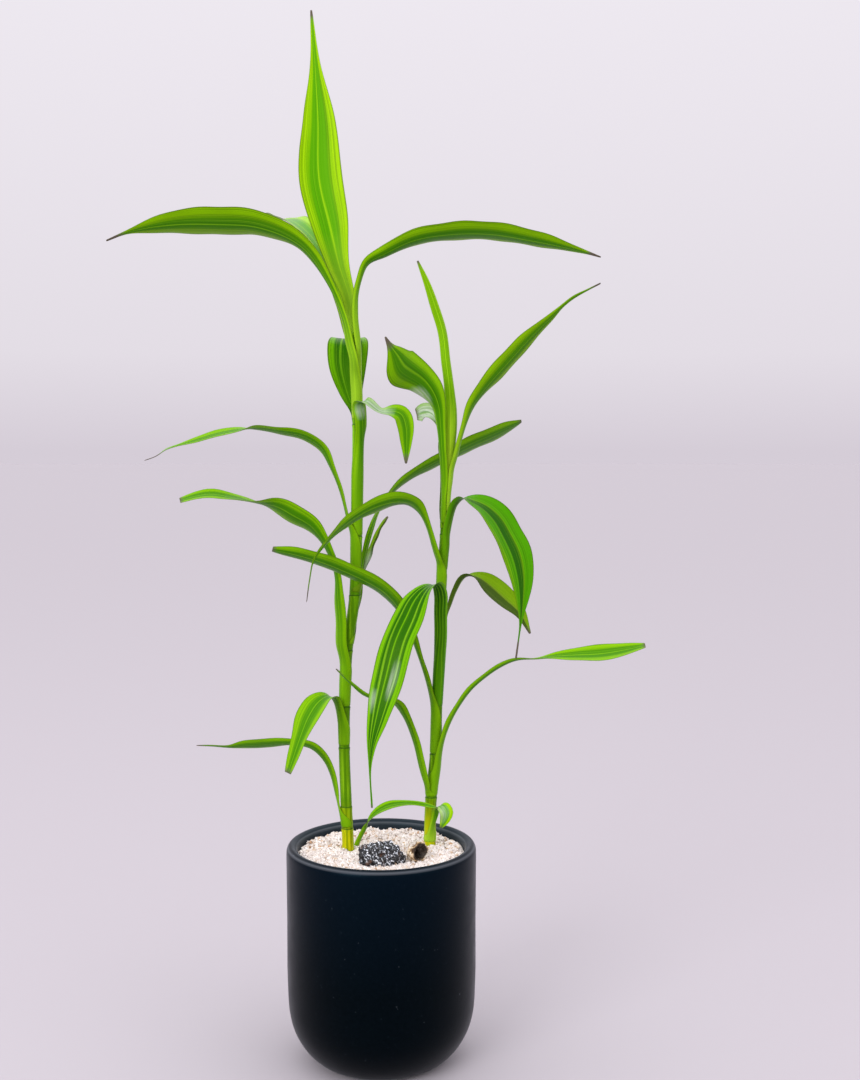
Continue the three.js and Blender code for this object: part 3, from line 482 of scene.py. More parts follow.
def grow_cane(name, cane):
    top = cane["path"][-1][2]
    rings = []
    for z, bulge in cane_levels(cane):
        x, y, radius = cane_at(cane, z)
        radius *= 1 - TOP_SHARE * max(0, 1 - (top - z) / TAPER_REACH)
        rings.append((x * MM, y * MM, z * MM, (radius + bulge) * MM))
    return finish_shape(grow_rings(rings, CANE_SIDES), name)


canes = {side: grow_cane("stem_" + side, cane) for side, cane in CANES.items()}

# %% [markdown]
# The skin of a cane is yellow near the stones and fresh green higher up. It is darkest
# just above each leaf ring and gets lighter further up, and the ring itself is a thin
# dark line. Both are stored in the mesh, so that the material can read them.

# %% Mark the leaf rings
RING_LINE = 0.55
RING_MIDDLE = 0.3
DARK_REACH = 12


def mark_cane(stem, cane):
    """Stores how close each point is to a ring's line, and how close above a ring."""
    line, dark = [], []
    for vertex in stem.data.vertices:
        z = vertex.co.z / MM
        nearest = min(abs(z - ring - RING_MIDDLE) for ring in cane["rings"])
        above = min([z - ring for ring in cane["rings"] if z >= ring] or [DARK_REACH])
        line.append(max(0, 1 - nearest / RING_LINE))
        dark.append(max(0, 1 - above / DARK_REACH))
    store(stem, "ring_line", line)
    store(stem, "above_ring", dark)


for side, stem in canes.items():
    mark_cane(stem, CANES[side])
    print("rings marked on cane_" + side + ":", len(CANES[side]["rings"]))

# %% [markdown]
# The greens could be painted on by hand, but they only change with height, so a ramp
# over the height gives them. Noise stretched along the cane adds its darker and
# lighter streaks, and the two stored marks darken it at each ring.

# %% Finish the canes
PLANT_GLOSS = {"Roughness": 0.34, "IOR": 1.24, "Specular_Tint": (0.85, 1.0, 0.15, 1)}
# Heights, in metres, between which the greens run.
GREENS_FROM, GREENS_TO = 0.13, 0.45
CANE_GREENS = [
    (0.0, (0.60, 0.57, 0.003)), (0.05, (0.42, 0.46, 0.003)), (0.11, (0.11, 0.26, 0.002)),
    (0.45, (0.10, 0.26, 0.002)), (0.75, (0.17, 0.42, 0.003)), (1.0, (0.22, 0.48, 0.005)),
]
STREAK_STRETCH = (520, 520, 12)
STREAK_DARK = (0.035, 0.13, 0.001)
STREAK_LIGHT = (0.24, 0.48, 0.01)
ABOVE_RING = (0.03, 0.14, 0.002)
RING_GREEN = (0.014, 0.065, 0.003)


def cane_skin():
    skin = new_material("green_cane_skin", **PLANT_GLOSS)
    place = coordinates(skin)
    height = share_between(skin, split(skin, place)["Z"], GREENS_FROM, GREENS_TO)
    streaks = noise(skin, place, scale=1, detail=2, stretch=STREAK_STRETCH)
    above, line = attribute(skin, "above_ring"), attribute(skin, "ring_line")
    colour = ramp(skin, height, CANE_GREENS)
    colour = tint(skin, streaks, [(0.40, 0.55), (0.50, 0.0)], colour, STREAK_DARK)
    colour = tint(skin, streaks, [(0.56, 0.0), (0.66, 0.6)], colour, STREAK_LIGHT)
    colour = tint(skin, above, [(0.0, 0.0), (1.0, 0.5)], colour, ABOVE_RING)
    colour = tint(skin, line, [(0.2, 0.0), (0.8, 0.75)], colour, RING_GREEN)
    feed(skin, "Base Color", colour)
    bump(skin, streaks, strength=0.15, distance=0.0002)
    return skin


green_skin = cane_skin()
for side, stem in canes.items():
    hand_over(stem, green_skin, "cane", "cane_" + side)

# %% [markdown]
# ## The leaves
# A leaf starts as a sheath that clasps its cane, leaves it as a narrow channel, widens
# into a long blade and ends in a fine tip. Each one arches in its own way, so the
# leaves are the one thing here that can't be copied. A table gives each leaf a few
# stations along its middle line: where the station is, how wide the leaf is there, how
# many degrees of a circle its channel spans, and where its upper face looks.
# A sheath is (lower height, upper height, side of the cane in degrees, wrap).

# %% Measure the leaves
LEAVES = {
    "leaf_left_01": {"cane": "left", "sheath": None, "stations": [
        (-15.5, -1.2, 136, 4.5, 120, -0.6, 0.8, 0.1),
        (-13, -2, 142, 4.5, 115, -0.6, 0.8, 0.2),
        (-10.5, -3.5, 147, 4.5, 110, -0.5, 0.8, 0.3),
        (-7.5, -6, 154, 5, 90, -0.4, -0.3, 0.8),
        (-1.5, -8, 160.5, 7, 60, -0.3, -0.5, 0.8),
        (5, -9, 164, 7.5, 55, -0.2, -0.5, 0.8),
        (14, -9, 165.5, 5.5, 50, 0, -0.5, 0.9),
        (22.5, -9, 165.5, 4, 40, 0.1, -0.5, 0.9),
        (29, -8, 164, 4, 40, 0.1, -0.5, 0.9),
        (36, -7, 162, 1.2, 20, 0.2, -0.4, 0.9),
    ]},
    "leaf_left_02": {"cane": "left", "sheath": (147, 154, 190, 225), "stations": [
        (-30, 5.5, 170.5, 6.5, 110, 0.9, 0.5, 0.2),
        (-32, 5, 181, 7, 100, 0.7, 0.7, 0.3),
        (-36, 5, 190, 7.5, 90, 0.5, 0.75, 0.4),
        (-43.5, 6, 197.5, 8.5, 80, 0.3, 0.75, 0.6),
        (-59, 8, 200, 8.5, 60, 0, 0.7, 0.7),
        (-71.5, 10, 199, 10.5, 55, 0, 0.7, 0.7),
        (-80.5, 11, 198, 11.5, 50, 0, 0.7, 0.7),
        (-89.5, 12, 197.5, 8.5, 45, 0, 0.7, 0.7),
        (-97.5, 13, 196.5, 4.5, 40, 0, 0.6, 0.8),
        (-110, 14, 197, 3.2, 30, 0, 0.5, 0.9),
        (-119.5, 15, 197, 1.2, 20, 0, 0.4, 0.9),
    ]},
    "leaf_left_03": {"cane": "left", "sheath": (200, 214, 238, 225), "stations": [
        (-28, -1.5, 227, 8, 90, 0.6, 0.8, 0.1),
        (-29.5, -4.5, 231.5, 8.5, 80, 0.2, 0.5, 0.9),
        (-34, -9, 233, 10, 55, 0, -0.5, 0.9),
        (-38.5, -13, 230.5, 16, 45, -0.4, -0.8, 0.4),
        (-44, -17, 222.5, 18.5, 40, -0.6, -0.8, 0.2),
        (-48.5, -20, 211.5, 14, 40, -0.6, -0.8, 0.2),
        (-53, -22, 198.5, 9.5, 40, -0.6, -0.8, 0.2),
        (-56.5, -23, 188, 5.5, 30, -0.6, -0.8, 0.2),
    ]},
    "leaf_left_04": {"cane": "left", "sheath": (225, 253, 240, 225), "stations": [
        (-25.5, -2.2, 264, 9, 100, 0.4, 0.9, 0),
        (-25.5, -4.5, 277.5, 9, 105, 0.4, 0.9, 0.1),
        (-26.5, -6.5, 292, 9, 105, 0.5, 0.8, 0.1),
        (-28, -8, 311, 7.5, 105, 0.7, 0.6, 0.3),
        (-37, -10, 332.5, 11, 80, 0.5, 0.7, 0.6),
        (-43.5, -11, 340, 15.5, 70, 0.3, 0.7, 0.6),
        (-53, -12, 345.5, 17.5, 60, 0.2, 0.8, 0.6),
        (-64.5, -13, 352, 15, 50, 0, 0.6, 0.8),
        (-76, -14, 354, 12, 45, 0, 0.1, 1),
        (-91, -15, 357.5, 10, 40, 0, -0.4, 0.9),
        (-104, -16, 359.5, 9, 40, 0, -0.6, 0.8),
        (-113.5, -17, 358, 8, 40, 0, -0.6, 0.8),
        (-122, -18, 355.5, 5, 30, 0, -0.6, 0.8),
    ]},
    "leaf_left_05": {"cane": "left", "sheath": (296.8, 301, 15, 225), "stations": [
        (-11.5, 5.6, 304.5, 5, 100, -1, 0, 0),
        (-9, 6, 313.5, 4.5, 80, -0.9, -0.4, 0.1),
        (-7, 5.5, 320.5, 6, 50, -0.7, -0.7, 0.1),
        (-5.5, 5, 326.5, 3.2, 50, -0.6, -0.7, 0.2),
        (-2.5, 4.5, 333, 4.4, 60, -0.6, -0.7, 0.2),
        (-0.5, 4.5, 338, 2.4, 50, -0.5, -0.8, 0.2),
        (2, 4.5, 341.5, 3.2, 40, -0.5, -0.8, 0.2),
        (4.5, 4.5, 345, 1.2, 20, -0.5, -0.8, 0.2),
    ]},
    "leaf_left_06": {"cane": "left", "sheath": (312, 335, 195, 225), "stations": [
        (-21.5, 2.4, 341, 8, 80, 1, 0.3, 0),
        (-22.4, 2, 348.5, 7, 100, 1, 0.2, 0.1),
        (-26.5, 0, 364, 7, 110, 0.9, 0.3, 0.3),
        (-31.5, -2, 377, 8, 90, 0.7, 0.5, 0.5),
        (-36.5, -4, 387.5, 9.5, 60, 0.5, 0.6, 0.6),
        (-46, -6, 394, 11, 50, 0.2, 0.6, 0.8),
        (-62, -8, 397.5, 10.5, 45, 0.1, 0.4, 0.9),
        (-80, -10, 399.5, 9.5, 40, 0, 0.1, 1),
        (-84.5, -11, 399, 8, 40, 0, -0.3, 0.9),
        (-98, -12, 396.5, 9, 40, -0.1, -0.5, 0.9),
        (-112, -13, 392.5, 6.5, 40, -0.1, -0.6, 0.8),
        (-126, -14, 388.5, 2, 40, -0.1, -0.5, 0.9),
        (-130.5, -14.5, 387, 3.2, 40, -0.1, -0.3, 0.9),
        (-136, -15, 383, 1.4, 20, 0, 0, 1),
        (-144, -15, 380, 1.2, 20, 0, 0, 1),
    ]},
    "leaf_left_07": {"cane": "left", "sheath": (264, 270, 60, 225), "stations": [
        (-17.4, 10, 281, 7, 90, -0.5, -0.85, 0),
        (-13.4, 11.2, 296, 6.5, 100, -0.6, -0.8, 0.1),
        (-12.5, 12.5, 308.5, 6.5, 110, -0.8, -0.6, 0.1),
        (-10, 13.5, 320.5, 6.5, 110, -0.8, -0.6, 0.1),
        (-6, 16, 335.5, 7, 110, -0.7, -0.5, 0.4),
        (-1.5, 20, 347.5, 8.5, 90, -0.6, 0, 0.7),
        (8, 25, 360.5, 10, 70, -0.4, 0.4, 0.8),
        (21.5, 31, 371, 12, 60, -0.2, 0.6, 0.8),
        (38, 37, 379.5, 14.5, 55, -0.2, 0.6, 0.8),
        (57, 44, 389, 17.5, 50, -0.2, 0.6, 0.8),
        (74, 49, 396.5, 16.5, 45, -0.2, 0.6, 0.8),
        (85, 52.5, 402, 11, 40, -0.2, 0.6, 0.8),
        (91.5, 54, 405.5, 3.5, 40, -0.2, 0.6, 0.8),
    ]},
    "leaf_left_08": {"cane": "left", "sheath": (339, 392, 318, 225), "stations": [
        (-11, -1.5, 399, 9, 85, -0.5, 0.8, 0),
        (-11.5, -3.2, 407.5, 9.5, 85, -0.5, 0.8, 0.2),
        (-12.5, -5.5, 415.5, 9.5, 80, -0.1, 0.4, 0.9),
        (-9, -8, 417, 8, 60, 0.2, -0.6, 0.8),
        (-4, -8.5, 413, 7, 60, 0.3, -0.7, 0.7),
        (1, -8, 409.5, 8, 60, 0, -0.5, 0.9),
        (7, -8, 410, 11, 50, 0.2, -0.7, 0.7),
        (12.5, -8.5, 408.5, 13, 45, 0.5, -0.8, 0.3),
        (15.5, -9, 401, 11.5, 45, 0.4, -0.9, 0),
        (16, -9, 392, 8, 40, 0.2, -0.9, 0),
        (16, -9, 378, 1.2, 20, 0.2, -0.9, 0),
    ]},
    "leaf_left_09": {"cane": "left", "sheath": (403.5, 408.5, 90, 165), "stations": [
        (-18.5, 12, 421.5, 16, 90, 0, -1, 0.2),
        (-21, 14, 439.5, 25, 55, 0, -1, 0.3),
        (-21, 19, 453.5, 26, 34, 0, -0.8, 0.6),
        (-21.5, 28, 457.5, 21.5, 28, 0, 0, 1),
        (-22, 43, 452.5, 22, 40, 0, 0.6, 0.8),
        (-22, 58, 438.5, 17, 45, 0, 0.8, 0.5),
        (-21.5, 70, 422, 8, 40, 0, 0.9, 0.4),
        (-21, 78, 409, 1.2, 20, 0, 0.9, 0.4),
    ]},
    "leaf_left_10": {"cane": "left", "sheath": (412, 432, 250, 225), "stations": [
        (-17, -3, 443, 6.5, 80, 0.4, 0.9, 0),
        (-19.5, -2.6, 452.5, 6.5, 85, 0.5, 0.85, 0),
        (-21.5, -2.8, 463.5, 6, 95, 0.6, 0.8, 0),
        (-24.5, -2.8, 473, 6, 105, 0.7, 0.7, 0.1),
        (-28, -2.8, 481.5, 6.5, 110, 0.7, 0.6, 0.3),
        (-33.5, -3.5, 492, 8.5, 110, 0.6, 0.6, 0.5),
        (-47, -6, 510, 14, 100, 0.3, 0.6, 0.8),
        (-73, -10, 521.5, 22, 75, 0, 0.6, 0.8),
        (-99, -13, 523, 24, 60, 0, 0.62, 0.8),
        (-126, -16, 522, 18, 55, 0, 0.62, 0.8),
        (-142, -18, 519.5, 9, 50, 0, 0.62, 0.8),
        (-152, -19, 517, 3, 40, 0, 0.62, 0.8),
        (-164, -20, 512, 1.2, 20, 0, 0.62, 0.8),
    ]},
    "leaf_left_11": {"cane": "left", "sheath": (436.5, 441.5, 335, 225), "stations": [
        (-12, -0.6, 448, 6, 85, -0.8, 0.6, 0),
        (-13.5, -1.8, 456.5, 4.8, 90, -0.5, 0.85, 0),
        (-14.5, -2, 466, 4.8, 100, -0.5, 0.85, 0),
        (-14.5, -1.6, 474.5, 5.5, 110, -0.6, 0.8, 0.1),
        (-13.5, -0.5, 482.5, 6.5, 115, -0.8, 0.5, 0.3),
        (-11.5, 0, 491, 7, 120, -0.8, 0.4, 0.4),
        (-7.5, 0.5, 501.5, 9, 120, -0.7, 0.5, 0.6),
        (1.5, -1, 506, 11, 105, -0.4, 0.6, 0.7),
        (20, -4, 514, 16.5, 80, -0.1, 0.5, 0.9),
        (43, -7, 517.5, 20, 65, 0, 0.45, 0.9),
        (67, -10, 517.5, 20, 60, 0, 0.45, 0.9),
        (91, -13, 513.5, 17, 60, 0, 0.48, 0.9),
        (112, -15, 509, 10, 50, 0.1, 0.5, 0.9),
        (125, -17, 505.5, 3.5, 40, 0.1, 0.5, 0.9),
        (134, -18, 502.5, 1.2, 20, 0.1, 0.5, 0.9),
    ]},
    "leaf_left_12": {"cane": "left", "sheath": (447, 451, 120, 225), "stations": [
        (-20, 10.7, 458, 8, 75, 0.45, -0.9, 0),
        (-23, 13.3, 468, 9, 95, 0.5, -0.8, 0.1),
        (-30, 18.5, 490, 12, 110, 0.5, -0.7, 0.5),
        (-41, 30, 517, 20, 70, 0.3, -0.3, 0.9),
        (-55, 48, 533, 24, 60, 0, -0.1, 1),
        (-70, 75, 541, 22, 55, 0, 0.1, 1),
        (-86, 100, 543, 14, 50, 0, 0.3, 0.9),
        (-103, 122, 542, 1.2, 20, 0, 0.3, 0.9),
    ]},
    "leaf_left_13": {"cane": "left", "sheath": (455.6, 460, 90, 225), "stations": [
        (-18, 9.2, 466, 9, 130, 0, -1, 0),
        (-20, 9, 480, 9.5, 110, 0, -1, 0),
        (-26.5, 10, 502, 15.5, 80, 0, -1, 0.1),
        (-32, 12, 529, 25, 55, 0, -1, 0.1),
        (-37, 14, 553, 28, 45, 0, -1, 0.1),
        (-38.5, 17, 593, 20.5, 40, 0, -1, 0.1),
        (-41, 20, 628, 6.5, 40, 0, -1, 0.1),
        (-43.5, 22, 661, 1.2, 20, 0, -1, 0.1),
    ]},
    "leaf_right_01": {"cane": "right", "sheath": (135.5, 140, 300, 225), "stations": [
        (32.5, 5.8, 144.5, 5.5, 120, -0.4, 0.9, 0.1),
        (34.5, 4, 154, 6, 100, -0.4, 0.8, 0.4),
        (36, 1, 161, 8, 60, 0, -0.2, 1),
        (39.5, -3, 161.5, 10.5, 40, 0.4, -0.8, 0.5),
        (41.5, -4.5, 158, 11, 35, 0.5, -0.9, 0.1),
        (40, -4.5, 153.5, 7, 30, 0.3, -0.9, 0),
        (37.5, -4.5, 148.5, 1.6, 20, 0.3, -0.9, -0.1),
    ]},
    "leaf_right_02": {"cane": "right", "sheath": (165.3, 168.8, 200, 225), "stations": [
        (27.5, 7, 173.5, 7, 110, 0.7, 0.7, 0.1),
        (25, 4.5, 186, 7, 100, 0.6, 0.75, 0.2),
        (20.5, 1.5, 205, 7, 90, 0.6, 0.7, 0.4),
        (15, -2, 219, 8.5, 80, 0.5, 0.6, 0.6),
        (9, -5, 228.5, 9.5, 60, 0.3, 0.6, 0.8),
        (0, -8, 231, 6.5, 50, 0, 0.6, 0.8),
        (-8, -10, 233.5, 4.5, 50, 0, 0.6, 0.8),
        (-18, -13, 242, 4, 50, 0.3, 0.6, 0.8),
        (-27.5, -14, 251.5, 1.2, 20, 0.3, 0.6, 0.8),
    ]},
    "leaf_right_03": {"cane": "right", "sheath": (171.5, 181, 325, 225), "stations": [
        (38, 7.6, 193, 8, 85, -0.8, 0.6, 0),
        (40, 7, 203.5, 7, 100, -0.8, 0.5, 0.2),
        (44, 7, 215, 6.5, 100, -0.7, 0.6, 0.3),
        (49, 7, 224, 6.5, 95, -0.7, 0.6, 0.4),
        (56, 6.5, 234, 6.5, 90, -0.6, 0.6, 0.6),
        (65, 5.5, 242.5, 6.5, 85, -0.5, 0.6, 0.7),
        (74, 5, 249, 6.5, 80, -0.4, 0.6, 0.8),
        (85, 4, 254, 6, 70, -0.2, 0.5, 0.9),
        (98, 2, 255, 5, 60, 0, 0, 1),
        (109.5, 0, 257, 7, 50, 0, -0.5, 0.9),
        (121.5, -2, 258, 11.5, 50, 0, -0.6, 0.8),
        (136.5, -4, 259, 14.5, 50, 0, -0.6, 0.8),
        (151, -6, 261.5, 12, 45, 0, -0.6, 0.8),
        (165, -8, 265, 4.5, 40, 0, -0.5, 0.9),
    ]},
    "leaf_right_04": {"cane": "right", "sheath": (193, 224, 205, 225), "stations": [
        (30.2, 9.2, 230, 9, 80, 0.9, 0.43, 0),
        (28.5, 8, 240, 8, 100, 0.9, 0.4, 0.2),
        (22, 4.5, 260.5, 9, 110, 0.8, 0.3, 0.4),
        (16, 1.5, 277, 12, 90, 0.7, 0.4, 0.5),
        (10, -2, 288.5, 15, 80, 0.5, 0.5, 0.7),
        (3, -7, 297, 17, 75, 0.4, 0.6, 0.7),
        (-11, -14, 306.5, 17.5, 75, 0.3, 0.6, 0.7),
        (-20, -17, 311, 17, 75, 0.2, 0.6, 0.7),
        (-36, -21, 318, 15, 75, 0.2, 0.6, 0.7),
        (-50.5, -24, 322.5, 13, 75, 0.1, 0.6, 0.7),
        (-65, -26, 326, 6, 75, 0.1, 0.6, 0.7),
    ]},
    "leaf_right_05": {"cane": "right", "sheath": (229.5, 259, 262, 225), "stations": [
        (37.5, 6, 266.5, 9.8, 120, 0, 1, 0),
        (37.5, 5, 284.5, 9.8, 110, 0, 1, 0.1),
        (37.5, 3, 296, 9.8, 100, 0, 1, 0.3),
        (35, -2, 302.5, 8, 70, -0.2, 0.3, 0.9),
        (29, -8, 301, 11, 50, -0.4, -0.5, 0.8),
        (23, -13, 294, 17.5, 45, -0.4, -0.8, 0.4),
        (18, -18, 283.5, 20, 40, -0.3, -0.9, 0.2),
        (12.5, -23, 272, 20.5, 40, -0.3, -0.9, 0.1),
        (5.5, -29, 247, 21, 40, -0.3, -0.9, 0.1),
        (-0.5, -32, 225, 14.5, 40, -0.3, -0.9, 0.1),
        (-4.5, -33, 207.5, 6, 40, -0.2, -0.9, 0.1),
        (-5.5, -33, 197, 2.4, 30, -0.2, -0.9, 0.1),
        (-4.5, -33, 169, 1.2, 20, -0.2, -0.9, 0.1),
    ]},
    "leaf_right_06": {"cane": "right", "sheath": (266, 272, 30, 225), "stations": [
        (41, 15, 277, 6.5, 100, -0.8, -0.5, 0.1),
        (44, 16, 287, 6.5, 110, -0.8, 0.3, 0.3),
        (47.5, 17.5, 297, 7, 100, -0.7, 0.5, 0.4),
        (53, 18.5, 305.5, 7.5, 80, -0.4, 0.5, 0.8),
        (58.5, 19.5, 306, 8, 60, 0.3, -0.3, 0.9),
        (64, 20, 303.5, 12.5, 50, 0.4, -0.7, 0.6),
        (72, 20, 297.5, 17, 45, 0.4, -0.8, 0.5),
        (80, 19.5, 290.5, 16, 45, 0.4, -0.8, 0.4),
        (88, 18, 283, 9.5, 40, 0.4, -0.8, 0.4),
        (95, 17, 269, 1.6, 20, 0.5, -0.8, 0.3),
    ]},
    "leaf_right_07": {"cane": "right", "sheath": (297.5, 314, 215, 225), "stations": [
        (34.5, 7, 318.5, 8, 90, 0.8, 0.6, 0),
        (32.5, 5.2, 326, 7.5, 105, 0.85, 0.5, 0.1),
        (29.5, 2.5, 336.5, 8, 110, 0.8, 0.4, 0.3),
        (25.5, -1.5, 346, 9.5, 95, 0.7, 0.5, 0.4),
        (20, -6, 352.5, 15, 75, 0.4, 0.6, 0.7),
        (12, -12, 354.5, 17, 70, 0.1, 0.65, 0.7),
        (1, -18, 352.5, 16.5, 65, 0, 0.65, 0.7),
        (-13, -23, 346, 13.5, 60, -0.1, 0.6, 0.8),
        (-25, -28, 337, 12.5, 55, -0.3, 0.4, 0.8),
        (-32.5, -33, 329, 8, 50, -0.5, 0.3, 0.7),
        (-38.5, -37, 321, 4.5, 40, -0.7, 0.2, 0.6),
        (-41, -39, 309, 3.6, 40, -0.9, 0, 0.2),
        (-43, -39, 295.5, 1.2, 20, -0.9, 0, 0),
    ]},
    "leaf_right_08": {"cane": "right", "sheath": (317, 327, 325, 225), "stations": [
        (42, 6.9, 334.5, 6.6, 95, -0.4, 0.9, 0),
        (44, 5.5, 344, 7.5, 105, -0.6, 0.7, 0.2),
        (47, 2.5, 352.5, 8.5, 90, -0.5, 0.5, 0.6),
        (51.5, -1, 356.5, 10.5, 70, -0.1, 0.2, 0.9),
        (56.5, -3, 355, 14, 60, 0.3, -0.5, 0.8),
        (63.5, -4.5, 352, 18, 55, 0.4, -0.7, 0.6),
        (72.5, -7, 344, 21, 45, 0.4, -0.8, 0.4),
        (78.5, -9, 333.5, 22, 45, 0.4, -0.8, 0.4),
        (84, -11, 322, 20.5, 45, 0.3, -0.9, 0.2),
        (87, -12.5, 308.5, 16, 45, 0.2, -0.9, 0.1),
        (87.5, -13, 294, 8.5, 45, 0.2, -0.9, 0.1),
        (87, -13, 283, 2.8, 30, 0.2, -0.9, 0.1),
        (84, -13, 257.5, 1.2, 20, 0.2, -0.9, 0.1),
    ]},
    "leaf_right_09": {"cane": "right", "sheath": (336.5, 341.5, 110, 225), "stations": [
        (39, 17.2, 349.5, 7.5, 90, 0.35, -0.94, 0),
        (39.5, 18.5, 366, 7, 100, 0.4, -0.9, 0),
        (38.5, 20, 385, 8, 110, 0.4, -0.8, 0.3),
        (35.5, 22, 403, 11, 80, 0.3, -0.1, 0.9),
        (31, 27, 410, 13.5, 50, -0.2, -0.6, 0.7),
        (26.5, 30, 410.5, 13.5, 40, -0.5, -0.8, 0.3),
        (22, 32, 409, 8, 40, -0.6, -0.8, 0.2),
    ]},
    "leaf_right_10": {"cane": "right", "sheath": (346.3, 351, 205, 150), "stations": [
        (38, 9, 355, 5.6, 105, 0.8, 0.6, 0),
        (38.5, 7.6, 365, 6.2, 110, 0.6, 0.8, 0),
        (38.5, 6.2, 376.5, 6.2, 110, 0.5, 0.85, 0),
        (38, 4.8, 388.5, 6.4, 110, 0.5, 0.85, 0),
        (37, 3.5, 402, 7.5, 110, 0.4, 0.8, 0.1),
        (35.5, 1, 414, 11, 85, 0.3, 0.8, 0.2),
        (31.5, -3, 422.5, 17, 65, 0, 0.8, 0.4),
        (25.5, -8, 429.5, 20, 55, -0.4, 0.8, 0.4),
        (19, -14, 433.5, 24, 50, -0.5, 0.8, 0.3),
        (14, -20, 437, 25, 45, -0.6, 0.8, 0.2),
        (11, -24, 442.5, 16, 45, -0.6, 0.8, 0.2),
        (7, -28, 448.5, 4.5, 30, -0.6, 0.8, 0.2),
        (4, -30, 454, 1.2, 20, -0.6, 0.8, 0.2),
    ]},
    "leaf_right_11": {"cane": "right", "sheath": (353.5, 358, 345, 150), "stations": [
        (45, 9.6, 364, 6, 75, -0.85, 0.5, 0),
        (46, 9.2, 374.5, 6, 70, -0.8, 0.6, 0),
        (48, 9, 383.5, 6.5, 95, -0.8, 0.5, 0.2),
        (50.5, 9, 393, 7.5, 110, -0.8, 0.3, 0.4),
        (53.5, 8.5, 403.5, 8, 105, -0.7, 0.4, 0.5),
        (57, 7.5, 413, 10, 90, -0.6, 0.5, 0.6),
        (64, 6, 423.5, 13, 70, -0.5, 0.6, 0.6),
        (72.5, 3, 433.5, 14.5, 60, -0.4, 0.7, 0.6),
        (81.5, 1, 443.5, 14.8, 55, -0.4, 0.7, 0.6),
        (90, -1, 453, 13, 50, -0.4, 0.7, 0.6),
        (98.5, -3, 461.5, 9.5, 45, -0.4, 0.7, 0.6),
        (105.5, -4, 468, 6, 45, -0.4, 0.7, 0.6),
        (111.5, -5, 474, 3, 40, -0.4, 0.7, 0.6),
        (119, -5.5, 480, 2.8, 40, -0.4, 0.7, 0.6),
        (127.5, -6, 484.5, 1.4, 20, -0.4, 0.7, 0.6),
        (135.5, -6, 488.5, 1.2, 20, -0.4, 0.7, 0.6),
    ]},
    "leaf_right_12": {"cane": "right", "sheath": None, "stations": [
        (41.3, 8.95, 363.6, 13.3, 250, 0, 1, 0),
        (41.4, 8.95, 368, 13.3, 250, 0, 1, 0),
        (42.5, 9.2, 374, 12, 250, 0, 1, 0),
        (43.5, 8.8, 384, 13.5, 250, 0, 1, 0),
        (44, 8, 392.5, 16.5, 250, 0, 1, 0),
        (44, 7.2, 402.5, 19.2, 250, 0, 1, 0),
        (44, 7.2, 411, 18.5, 250, 0, 1, 0),
        (43.5, 7.8, 419.5, 14.5, 240, 0.1, 1, 0),
        (42.5, 8.3, 428.5, 11.5, 220, 0.1, 1, 0),
        (40.5, 9, 441, 10, 200, 0.1, 1, 0),
        (37, 9.5, 461.5, 8.5, 175, 0.1, 1, 0),
        (33.5, 9, 476, 7.4, 150, 0.1, 1, 0),
        (28.5, 8, 491, 4.5, 110, 0.1, 1, 0),
        (23, 7, 504, 1.2, 30, 0.1, 1, 0),
    ]},
}
print("leaves:", len(LEAVES))

# %% [markdown]
# ### From stations to a blade
# A blade could be bent from a flat strip with a curve modifier, but then its channel,
# its twist and its width couldn't all change along the way. Instead a plain grid is
# added, with a row for every few millimetres of leaf, and each row is laid as an arc
# across the middle line. The grid's own UV map runs across and along the leaf, so the
# veins will follow every bend. Solidify then gives it a thickness that thins out
# towards the margins, and one level of subdivision rounds it.
#
# First come the rows of the sheath, which clasps the cane all the way up to its mouth.

# %% Trace the sheaths
SHEATH_WRAP = 292
# Share of the sheath, how far its middle skin stands off the cane, and its wrap.
SHEATH_PROFILE = [(0, 0.05, SHEATH_WRAP), (0.6, 0.3, SHEATH_WRAP - 20), (1, 0.6, 160)]
# A sheath whose own wrap is under this stands open and never closes further.
OPEN_WRAP = 200
NEST_REACH = 8
NEST_DEPTH = 6


def sheath_foot(leaf):
    """A sheath starts at its ring, or inside the mouth of the sheath just below."""
    low = leaf["sheath"][0]
    mouths = [other["sheath"][1] for other in LEAVES.values()
              if other["sheath"] and other["cane"] == leaf["cane"]]
    if any(0 < low - mouth < NEST_REACH for mouth in mouths):
        return low - NEST_DEPTH
    return low


def sheath_rows(leaf):
    """Rows of the sheath: centre, width, wrap and the way its inside looks."""
    if not leaf["sheath"]:
        return []
    _, high, side, wrap = leaf["sheath"]
    foot = sheath_foot(leaf)
    turn = math.radians(side)
    out = Vector((math.cos(turn), math.sin(turn), 0))
    first_fold = leaf["stations"][0][4]
    rows = []
    for share, gap, closed in SHEATH_PROFILE:
        angle = max(first_fold, min(closed, wrap) if wrap < OPEN_WRAP else closed)
        z = foot + (high - foot) * share
        x, y, radius = cane_at(CANES[leaf["cane"]], z)
        radius += gap
        centre = Vector((x, y, z)) + out * radius
        rows.append((*centre, radius * math.radians(angle), angle, *(-out)))
    return rows


sheathed = [name for name, leaf in LEAVES.items() if leaf["sheath"]]
print("sheaths:", len(sheathed), "rows in each:", len(SHEATH_PROFILE))

# %% [markdown]
# The stations follow the sheath's rows on one smooth line. Where a stalk runs close
# beside the cane it is drawn in against it, as the real ones hug it.

# %% Trace the middle lines
ROW_SPACING = 3.2
THREAD_WIDTH = 0.6
TIP_FOLD = 8
SNUG_REACH = 7.5
SNUG_GAP = 0.75


